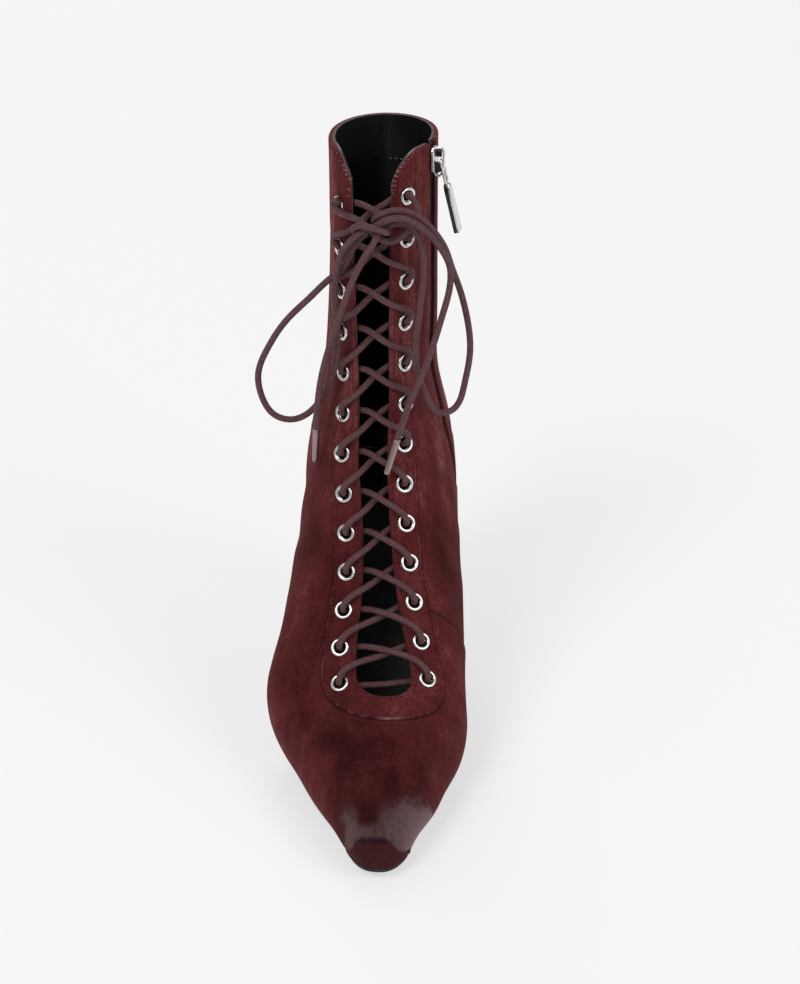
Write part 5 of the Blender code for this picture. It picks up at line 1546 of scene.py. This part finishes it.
def half_lace(side):
    """The lace from the middle of its lowest run up to its top eyelet, first out of the given side."""
    places = eyelet_places()
    first, partner = places[(0, side)], places[(0, -side)]
    below = WALL + LACE / 2 + 1.8 * GAP
    points = [(first[0] + partner[0]) / 2 - (first[1] + partner[1]) / 2 * below]
    source = points[0]
    for k in range(EYELET_PAIRS - 1):
        route = crossing(places[(k, side)], places[(k + 1, -side)])
        curl = min(max((k - CURL_FROM[side]) / 3, 0.25), 1)
        points += [*through(places[(k, side)], source, route[0], curl), *route]
        source, side = route[-1], -side
    last = places[(EYELET_PAIRS - 1, side)]
    knot = bow_path("lace_knot")
    end = knot[0] if side < 0 else knot[-1]
    return points + [*through(last, source, end, 0)[:3], end]


print("route of the lace ready")

# %% [markdown]
# The two halves are joined at the lowest run into one path and one tube, as the real lace is one length.
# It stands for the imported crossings.

# %% Run the lace through the eyelets
halves = {side: half_lace(side) for side in (1, -1)}
route = smooth_path([*reversed(halves[-1]), *halves[1][1:]], 1.2 * MM)
laced = tube("lace_laced", route, LACE / 2, CORD, sides=12)
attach(laced, "boot")
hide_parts("lace_bar", *[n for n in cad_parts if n.startswith("lace_cross_")])
print("laced part:", len(laced.data.polygons), "faces; top eyelets at",
      [np.round(eyelet_places()[(EYELET_PAIRS - 1, s)][0] / MM, 1).tolist() for s in (1, -1)])

# %% [markdown]
# Stitches, zip teeth and loose fibres all follow a line, so one tree makes them: it cuts the line into
# equal steps and sets a small ellipsoid on each, lying along the line and facing out of the surface.
# Real stitches differ a little from one to the next, so each gets a slightly different size.

# %% A tree of beads on lines
STITCH_PITCH = 0.0024
STITCH_SIZE = (1.7 * MM, 0.34 * MM, 0.30 * MM)
INNER_STITCH_SIZE = (1.3 * MM, 0.5 * MM, 0.5 * MM)
FIBRE_SIZE = (0.55 * MM, 0.17 * MM, 0.17 * MM)
ZIP_STITCH = 2 * MM


def beads_tree():
    tree, given, out = new_nodes_tree("beads_on_lines", [
        ("Pitch", FLOAT, 0.002), ("Size", VECTOR, (0.001, 0.001, 0.001)), ("Spread", FLOAT, 0.15),
        ("Seed", INTEGER, 3), ("Material", MATERIAL, None)])
    line = add(tree, "GeometryNodeMeshToCurve", {0: given["Geometry"]}).outputs[0]
    steps = add(tree, "GeometryNodeResampleCurve", {
        "Curve": line, "Length": given["Pitch"]}, mode="LENGTH").outputs[0]
    ball = add(tree, "GeometryNodeMeshUVSphere", {"Segments": 8, "Rings": 5, "Radius": 0.5}).outputs["Mesh"]
    bead = add(tree, "GeometryNodeTransform", {"Geometry": ball, "Scale": given["Size"]}).outputs[0]
    ahead = tree.nodes.new("GeometryNodeInputTangent").outputs[0]
    turned = facing(tree, ahead, facing(tree, named_vector(tree, "out")), axis="X", pivot="Z")
    low, high = (math_node(tree, kind, 1.0, given["Spread"]) for kind in ("SUBTRACT", "ADD"))
    size = add(tree, "FunctionNodeRandomValue", {
        2: low, 3: high, "Seed": given["Seed"]}, data_type="FLOAT").outputs[1]
    placed = add(tree, "GeometryNodeInstanceOnPoints", {
        "Points": steps, "Instance": bead, "Rotation": turned, "Scale": size}).outputs[0]
    end_tree(tree, placed, given["Material"], out)
    return tree


print("bead tree ready")

# %% [markdown]
# A row of stitches runs at a set distance from an edge. On each line of the grid the spot is found where
# that distance is reached, between two columns, so the row is even.

# %% Rows of stitches and their thread


def row_spots(field, value, rows):
    """On each of the rows, the outer skin's spot where a distance grows to a value, and the way out there."""
    spots, outs = [], []
    for r in rows:
        k = int(np.clip(np.searchsorted(field[r], value), 1, COLUMNS - 1))
        f = (value - field[r, k - 1]) / (field[r, k] - field[r, k - 1])
        out = unit(OUT[r, k - 1] * (1 - f) + OUT[r, k] * f)
        spots.append(outer_grid[r, k - 1] * (1 - f) + outer_grid[r, k] * f)
        outs.append(out)
    return np.array(spots), np.array(outs)


def beads(name, lines, material, pitch, size, spread=0.15, seed=3):
    """One object with a bead at each step of several lines."""
    points, outs = (np.concatenate([line[i] for line in lines]) for i in (0, 1))
    return grown(name, BEADS, line_mesh(name + "_line", points, outs, [len(line[0]) for line in lines]), {
        "Pitch": pitch, "Size": size, "Spread": spread, "Seed": seed, "Material": material})


def thread_material(name, colour):
    made, tree, shader = new_material(name, 0.7, Specular_IOR_Level=0.2)
    mask = use_group(tree, MOTTLE, {
        "Vector": object_place(tree), "Patch Scale": 400.0, "Streak Scale": 3000.0})["Mask"]
    tree.links.new(mix_colour(tree, mask, tuple(0.45 * c for c in colour), colour), shader["Base Color"])
    return made


print("stitch helpers ready")

# %% [markdown]
# Stitches could be drawn in the material, but thread stands proud and catches light, so it is real. The
# rows go round throat and eyestay, beside the zip, along the seam and down the back.

# %% Sew the upper
BEADS = beads_tree()
THREAD = thread_material("thread", (0.120, 0.036, 0.040))
PALE_THREAD = thread_material("pale_thread", (0.46, 0.38, 0.37))
every = range(CORNER_ROWS + 4, ROWS - CORNER_ROWS - 4)
zip_side = range(4, zip_rows)
seam_row = int(np.argmax(AT[:, -1] <= SEAM_STATION)) + 1
seam = outer_grid[seam_row, STAY_COLUMN + 4:-1], OUT[seam_row, STAY_COLUMN + 4:-1]
back_rows = np.nonzero(AT[:ROWS // 2, -1] >= LAST.seat)[0][4:]
back = outer_grid[back_rows, -2], OUT[back_rows, -2]
other_back = outer_grid[ROWS - 1 - back_rows, -2], OUT[ROWS - 1 - back_rows, -2]
rows = [row_spots(*row) for row in (
    (FROM_STAY, -STAY_STITCH, every), (FROM_THROAT, THROAT_STITCH, every),
    (front_edge, -ZIP_STITCH, zip_side), (rear_edge, ZIP_STITCH, zip_side))]
stitches = beads("stitches", [*rows, seam, back, other_back], THREAD, STITCH_PITCH, STITCH_SIZE)
lining_row = int(np.argmin(np.abs(AT[:ROWS // 2, 0] - LAST.station(RIDGE - LINING_SEAM + 0.8 * MM))))
lit = SHARE[lining_row] > 0.84
inner_stitches = beads("inner_stitches", [(lining_in[lining_row, lit], OUT[lining_row, lit])],
                       PALE_THREAD, STITCH_PITCH, INNER_STITCH_SIZE)


print("stitches", len(stitches.data.polygons), "faces")

# %% [markdown]
# Cut suede sheds fibres at the collar's front corners. A few short ones are scattered there with a fixed
# seed, so that every run gives the same.

# %% Loose fibres
random = np.random.default_rng(11)
fibre_lines = []
for middle_row in (CORNER_ROWS - 1, ROWS - CORNER_ROWS + 1):
    for r in np.clip(np.round(random.normal(middle_row, 3.2, 46)), 0, ROWS - 1).astype(int):
        start = outer_grid[r, 0] + (outer_grid[r, 2] - outer_grid[r, 0]) * random.normal(0, 0.5)
        way = unit(random.normal(size=3))
        end = start + way * random.uniform(0.3, 1.0) * MM
        fibre_lines.append((np.array([start, end]), np.tile(OUT[r, 0], (2, 1))))
fibres = beads("loose_fibres", fibre_lines, PALE_THREAD, 0.5 * MM, FIBRE_SIZE, 0.5)
for made in (stitches, inner_stitches, fibres):
    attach(made, "boot")
print("fibres", len(fibres.data.polygons), "faces")

# %% [markdown]
# The zip runs down the inner side, straight in the side view and curved with the ankle. Its lines are
# read from the last at a set distance beside the zip's middle, so tapes and teeth can't leave the wall.

# %% Lines beside the zip
ZIP_TOP = 0.0030
SLIDER_DROP = 0.0070
SLIDER_THICK = 0.0026
LUG_BAR, LUG_EYE, LUG_WIDTH = 0.0007, 0.0019, 0.0020
PULL_LENGTH, PULL_TAB_LENGTH, PULL_WIDTH, PULL_WIRE = 0.0340, 0.0225, 0.0046, 0.0011
PULL_LEAN = math.radians(13)
TOOTH_PITCH, TOOTH_HEIGHT = 0.0013, -1.2 * MM
TOOTH_SIZE = (0.85 * MM, 2.6 * MM, 1.6 * MM)


def zip_spot(at, along_girth=0.0, height=0.0):
    """A spot beside the zip's middle line at a station, and the outward direction there."""
    share = zip_way(at) + along_girth / float(LAST.girth(at, 1))
    out = LAST.normal(at, share)
    return LAST.point(at, share) + out * height, out


def zip_line(along_girth, height):
    stations = np.linspace(float(LAST.station(RIDGE - ZIP_TOP)), zip_end_station(), 90)
    spots = [zip_spot(at, along_girth, height) for at in stations]
    return np.array([s for s, _ in spots]), np.array([o for _, o in spots])


def strip(name, lines, material):
    """A closed strip swept through lines of one count, which go once round its section."""
    count, ring = len(lines[0]), len(lines)
    points = np.concatenate(lines)
    faces = [(j * count + i, j * count + i + 1, (j + 1) % ring * count + i + 1, (j + 1) % ring * count + i)
             for j in range(ring) for i in range(count - 1)]
    faces += [[j * count for j in range(ring)], [j * count + count - 1 for j in reversed(range(ring))]]
    return new_object(name, points, faces, material, angle=50)


print("zip lines ready")

# %% [markdown]
# Slider and pull are small and tilted with the shaft. They are worked out in millimetres across, up and
# out from the slider's middle, and a helper turns such places into the boot's frame, so no piece is moved
# afterwards.

# %% The slider's own frame


def block(name, levels, material):
    """A solid in the slider's frame from levels of height, half width, low and high end, and corner radius."""
    loops = []
    turns = (np.arange(32) + 0.5) * 2 * np.pi / 32
    for height, half, low, high, corner in levels:
        along_half, middle = (high - low) / 2, (high + low) / 2
        x = np.cos(turns) * corner + np.sign(np.cos(turns)) * (half - corner)
        y = np.sin(turns) * corner + np.sign(np.sin(turns)) * (along_half - corner) + middle
        loops.append(at_slider(np.stack([x, y, np.full(32, height)], 1)))
    return stacked(name, loops, material)


def at_slider(local):
    """Millimetres across, up and out from the slider's middle, as places in the frame."""
    across, up, out = SLIDER_AXES
    return SLIDER_SPOT + np.asarray(local, float) @ np.array([across, up, out]) * MM


def stacked(name, levels, material):
    """A solid of stacked loops, lowest first, closed by a fan at both ends."""
    count = len(levels[0])
    points = np.concatenate([*levels, [levels[0].mean(0)], [levels[-1].mean(0)]])
    faces = []
    for level in range(len(levels) - 1):
        a, b = level * count, (level + 1) * count
        faces += [(a + i, a + (i + 1) % count, b + (i + 1) % count, b + i) for i in range(count)]
    low, high, top = len(points) - 2, len(points) - 1, (len(levels) - 1) * count
    faces += [((i + 1) % count, i, low) for i in range(count)]
    faces += [(top + i, top + (i + 1) % count, high) for i in range(count)]
    return new_object(name, points, faces, material, angle=45)


slider_at = float(LAST.station(RIDGE - SLIDER_DROP))
SLIDER_SPOT, out_here = zip_spot(slider_at)
up_here = zip_spot(slider_at + 2 * MM)[0] - zip_spot(slider_at - 2 * MM)[0]
up_here = unit(up_here - out_here * np.dot(up_here, out_here))
SLIDER_AXES = (np.cross(up_here, out_here), up_here, out_here)
HINGE = (1.2 * GAP + SLIDER_THICK + 0.6 * LUG_BAR + LUG_EYE / 2) / MM
print("hinge at", np.round(at_slider([(0, 0, HINGE)])[0], 5))

# %% [markdown]
# Two woven tapes lie behind the slot, each with a row of nylon teeth at its edge. The tapes are one strip
# swept along the zip, and the bead tree sets the teeth closely enough to read as a coil.

# %% Tapes and teeth
TAPE = thread_material("zip_tape", (0.014, 0.0036, 0.0036))
NYLON = thread_material("zip_teeth", (0.024, 0.0070, 0.0070))
# Nickel painted dark, as painted shade: the back of the pull's tab and the gap under the slider's bridge.
PAINTED_SHADE_METAL = metal_material("painted_shade_metal", (0.060, 0.050, 0.047), 0.14)
low, high = -WALL - 1.2 * MM, -WALL - 0.5 * MM
tape = strip("zip_tape", [zip_line(across * MM, height)[0] for across, height in (
    (-11, high), (-11, low), (-4, low), (6, low), (13, low), (13, high), (6, high), (-4, high))], TAPE)
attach(tape, "boot")
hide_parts("zip_strip")
teeth = beads("zip_teeth", [zip_line(across * MM, TOOTH_HEIGHT) for across in (-1.0, 1.2)], NYLON,
              TOOTH_PITCH, TOOTH_SIZE, 0.05)
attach(teeth, "boot")
print("teeth", len(teeth.data.polygons), "faces")

# %% [markdown]
# A cast slider has a plate over the teeth and a bridge that holds the pull. The plate is a block of rounded
# loops, the bridge a bent bar, and two dark blocks paint the shade in the gap under it.

# %% The slider
slider_plate = block("slider_plate", [
    (0.4, 3.2, -5.2, 5.2, 1.2), (0.7, 3.7, -5.4, 5.5, 1.4), (1.5, 3.7, -5.4, 5.5, 1.4),
    (1.9, 3.1, -5.0, 5.1, 1.2)], NICKEL)
bridge = smooth_path(at_slider([
    (0, 5.0, 1.5), (0, 5.3, 3.2), (0, 5.0, 4.9), (0, 3.8, HINGE + 1.1), (0, 0, HINGE + 1.15),
    (0, -4.2, HINGE + 0.9), (0, -6.9, 4.2), (0, -8.0, 2.6), (0, -6.6, 1.3), (0, -4.6, 1.5)]), 0.4 * MM)
bridge = tube("slider_bridge", bridge, 0.55 * MM, NICKEL, sides=12)
shade_blocks = [block("slider_upper_shade", [(1.7, 0.7, 1.4, 4.9, 0.3), (4.6, 0.7, 1.4, 4.6, 0.3)], PAINTED_SHADE_METAL),
          block("slider_lower_shade", [(1.7, 0.7, -6.8, -1.3, 0.3), (4.4, 0.7, -5.4, -1.3, 0.3)], PAINTED_SHADE_METAL)]
for made in (slider_plate, bridge, *shade_blocks):
    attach(made, "boot")
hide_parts("zip_slider")
print("slider of", len(slider_plate.data.polygons), "faces")

# %% [markdown]
# The pull is a wire link and a flat tab, bright in front and painted dark behind, as painted shade. It rides on
# the body that turns on the slider's lug, and hangs a little off the shaft, as the photograph shows.

# %% The pull


def at_pull(local):
    """Millimetres across, down the pull and out of its face, from the hinge, as places in the frame."""
    across, up, out = SLIDER_AXES
    down = -up * math.cos(PULL_LEAN) + out * math.sin(PULL_LEAN)
    axes = np.array([across, down, np.cross(across, down)])
    return at_slider([(0, 0, HINGE)]) + np.asarray(local, float) @ axes * MM


def bar(name, levels, material):
    """A flat bar along the pull from levels of place down it, half width, and low and high face."""
    loops = []
    turns = (np.arange(24) + 0.5) * 2 * np.pi / 24
    for down, half, low, high in levels:
        corner = min(0.3, half / 2, (high - low) / 3)
        x = np.cos(turns) * corner + np.sign(np.cos(turns)) * (half - corner)
        z = np.sin(turns) * corner + np.sign(np.sin(turns)) * ((high - low) / 2 - corner) + (high + low) / 2
        loops.append(at_pull(np.stack([x, np.full(24, down), z], 1)))
    return stacked(name, loops, material)


link = (PULL_LENGTH - PULL_TAB_LENGTH) / MM
wide = LUG_WIDTH / 2 / MM + 0.64 * PULL_WIRE / MM
half = PULL_WIDTH / 2 / MM
end = PULL_LENGTH / MM
pull_link = tube("pull_link", smooth_path(at_pull([
    (-0.2, 0, 0), (wide * 0.7, 0.1, 0), (wide, 1.2, 0), (wide, link * 0.5, 0), (wide * 0.8, link - 0.8, 0),
    (0, link + 0.5, 0), (-wide * 0.8, link - 0.8, 0), (-wide, link * 0.5, 0), (-wide, 1.2, 0),
    (-wide * 0.7, 0.1, 0), (0.2, 0, 0)]), 0.3 * MM), PULL_WIRE / 2, NICKEL, sides=12)
tabs = []
# The back half of the tab is painted dark, as painted shade.
for label, low, high, material in (("bright", -1.35, -0.2, NICKEL), ("dark", -0.15, 1.35, PAINTED_SHADE_METAL)):
    tabs.append(bar("pull_" + label, [
        (link - 0.2, half * 0.55, low + 0.1, high - 0.1), (link + 0.5, half * 0.8, low, high),
        (link + 2.2, half, low, high), (end - 0.5, half, low, high),
        (end, half * 0.9, low + 0.15, high - 0.15)], material))
for made in (pull_link, *tabs):
    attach(made, "pull")
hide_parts("zip_pull")
print("pull of", len(tabs) + 1, "pieces")

# %% [markdown]
# The sole is one thin piece of leather, cut to the upper's own rim a little inset, with a bevelled
# lower edge. Stacked loops of the rim's points make it, and strips across close its top and underside.

# %% The sole's outline
SOLE_INSET = 0.0012
SOLE_CHAMFER = 0.0010
INSOLE = 0.002
INSOLE_CLEAR = 0.0023


def sole_outline(inset):
    """The last's edge in plan, inset by a distance, from the seat's back by the inner side round."""
    rim = GRID[:, -1]
    rim = rim[rim[:, 0] < LAST.seat - 0.001]
    edge = LAST.point(rim[:, 0], rim[:, 1])[:, :2]
    loop = np.concatenate([[[0.0, TIP_SETBACK - float(LAST.edge(LAST.seat)[0])]], edge])
    ahead = np.roll(loop, -1, 0) - np.roll(loop, 1, 0)
    inward = unit(np.stack([ahead[:, 1], -ahead[:, 0]], 1))
    if np.sum((loop.mean(0) - loop) * inward) < 0:
        inward = -inward
    return loop + inward * inset


def plate(name, loops, material):
    """A plate of stacked loops of one count, top first, closed by strips across."""
    count = len(loops[0])
    faces = []
    for level in range(len(loops) - 1):
        a, b = level * count, (level + 1) * count
        faces += [(a + i, b + i, b + (i + 1) % count, a + (i + 1) % count) for i in range(count)]
    for level, turn in ((0, 1), (len(loops) - 1, -1)):
        base = level * count
        for i in range(count // 2):
            quad = [base + i, base + i + 1, base + (count - i - 1) % count, base + (count - i) % count]
            faces.append(list(dict.fromkeys(quad))[::turn])
    return new_object(name, np.concatenate(loops), faces, material, angle=35)


def at_height(inset, rise):
    loop = sole_outline(inset)
    return np.column_stack([loop, LAST.bed(loop[:, 1]) + rise])


print("outline of", len(sole_outline(0)), "points")

# %% [markdown]
# The sole is black leather with a bevelled lower edge. The insole is the lining's leather inside the
# wall, and closes the view down the shaft.

# %% Make the sole and the insole
SOLE_LEATHER = leather_material("sole_leather", (0.0030, 0.0028, 0.0027), 0.6)
sole = plate("sole", [
    at_height(SOLE_INSET + 0.3 * MM, 0), at_height(SOLE_INSET, -0.25 * MM),
    at_height(SOLE_INSET, SOLE_CHAMFER - SOLE + 0.2 * MM),
    at_height(SOLE_INSET + 0.25 * SOLE_CHAMFER, 0.35 * SOLE_CHAMFER - SOLE),
    at_height(SOLE_INSET + SOLE_CHAMFER, -SOLE)], SOLE_LEATHER)
inset = WALL + INSOLE_CLEAR
insole = plate("insole_sock", [
    at_height(inset + 0.4 * MM, 2 * GAP + INSOLE), at_height(inset, 2 * GAP + INSOLE - 0.4 * MM),
    at_height(inset, 2 * GAP)], LINING)
for made, node, slot in ((sole, "outsole", "sole_leather"), (insole, "insole", "lining")):
    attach(made, "boot")
    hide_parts(node)
print("sole", len(sole.data.polygons), "faces")

# %% [markdown]
# The heel can't be seen from the front. It is planned as such a boot's usual slim heel, covered in the
# upper's suede, with a black wearing piece. Loops at several heights are read from a smooth curve
# through a short table, and the top follows the sole's arch.

# %% The heel's levels
TIP_THICK = 0.0045
SEAT_LENGTH = 0.0500
HEEL_TABLE = (
    (0.00, 0.215, 0.20, 0.20), (0.12, 0.218, 0.20, 0.22), (0.32, 0.245, 0.22, 0.28),
    (0.56, 0.315, 0.28, 0.38), (0.78, 0.420, 0.34, 0.50), (1.00, 0.535, 0.385, 0.61),
)
HEEL_AROUND = 72
BREAST_FLAT = 0.55


def heel_loop(half_width, back, breast):
    """One level of the heel in plan: round at the back, flatter at the breast."""
    turn = 2 * np.pi * (np.arange(HEEL_AROUND) + 0.5) / HEEL_AROUND
    cos, sin = np.cos(turn), np.sin(turn)
    behind = np.stack([half_width * cos, back * sin], 1)
    ahead = np.stack([
        half_width * np.copysign(np.abs(cos) ** BREAST_FLAT, cos), -breast * np.abs(sin) ** BREAST_FLAT], 1)
    return np.where((sin >= 0)[:, None], behind, ahead)


def heel_levels():
    rows = np.array(HEEL_TABLE)
    low = TIP_THICK + GAP
    levels = []
    for share in np.linspace(0, 1, 46):
        half_width, back, breast = along_cubic(rows[:, 0], rows[:, 1:], np.array([share]))[0]
        loop = heel_loop(half_width * SHAFT_WIDTH, back * SEAT_LENGTH, breast * SEAT_LENGTH)
        seat = LAST.bed(loop[:, 1]) - SOLE - GAP
        levels.append(np.column_stack([loop, low + (seat - low) * share]))
    return levels


print(len(heel_levels()), "levels")

# %% [markdown]
# The cover is the suede's own material, and the wearing piece is a plain block with softened edges that
# stands flat on the floor.

# %% Make the heel and its tip
RUBBER = leather_material("tip_rubber", (0.010, 0.010, 0.010), 0.6)
heel = stacked("heel_covered", heel_levels(), SUEDE)
_, half_width, back_reach, breast_reach = HEEL_TABLE[0]
tip_loop = heel_loop(half_width * SHAFT_WIDTH, back_reach * SEAT_LENGTH, breast_reach * SEAT_LENGTH)
tip_levels = [np.column_stack([tip_loop * grow, np.full(HEEL_AROUND, height)]) for grow, height in (
    (0.955, 0), (0.99, 0.3 * MM), (1, 0.8 * MM), (1, TIP_THICK - 0.4 * MM), (0.975, TIP_THICK))]
heel_tip = stacked("heel_tip_shown", tip_levels, RUBBER)
for made, node, slot in ((heel, "heel", "suede"), (heel_tip, "heel_tip", "tip_rubber")):
    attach(made, "boot")
    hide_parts(node)
print("heel", len(heel.data.polygons), "faces")

# %% [markdown]
# The boot stands on a plain pale floor. The floor could be lit up to white, but then the boot would be
# too bright, so it glows a little by itself under a modest light, and the shadows stay faint.

# %% The floor
FLOOR_SIZE = 6.0
FLOOR_COLOUR = (0.36, 0.36, 0.36)
FLOOR_GLOW = 0.584


def area_light(name, place, size, power):
    light = bpy.data.lights.new(name, "AREA")
    light.shape, light.size, light.energy = "DISK", size, power
    made = bpy.data.objects.new(name, light)
    made.location = place
    made.rotation_euler = (Vector((0, -0.09, 0.1)) - Vector(place)).to_track_quat("-Z", "Y").to_euler()
    bpy.context.scene.collection.objects.link(made)


floor_material, _, floor_shader = new_material("floor", 0.9, Emission_Strength=FLOOR_GLOW)
floor_shader["Emission Color"].default_value = (1, 1, 1, 1)
floor_shader["Base Color"].default_value = (*FLOOR_COLOUR, 1)
half = FLOOR_SIZE / 2
floor = new_object("floor", [(-half, -half, 0), (half, -half, 0), (half, half, 0), (-half, half, 0)],
                   [(0, 1, 2, 3)], floor_material)
print("floor laid")

# %% [markdown]
# A shop picture has wide lamps and hardly a shadow. A key lamp stands in front on the outer side, a fill
# on the inner side and one lamp behind, in a pale surround.

# %% The lights and the surround
area_light("key", (-0.9, -1.6, 2.0), 1.2, 27)
area_light("fill", (1.5, -1.0, 1.2), 1.4, 13)
area_light("back", (-0.4, 1.6, 1.6), 1.0, 12)
world = bpy.data.worlds.new("surround")
bpy.context.scene.world = world
world.use_nodes = True
world.node_tree.nodes["Background"].inputs["Color"].default_value = (1, 1, 1, 1)
world.node_tree.nodes["Background"].inputs["Strength"].default_value = 0.36
bpy.context.scene.view_settings.view_transform = "Standard"
print("lights set")
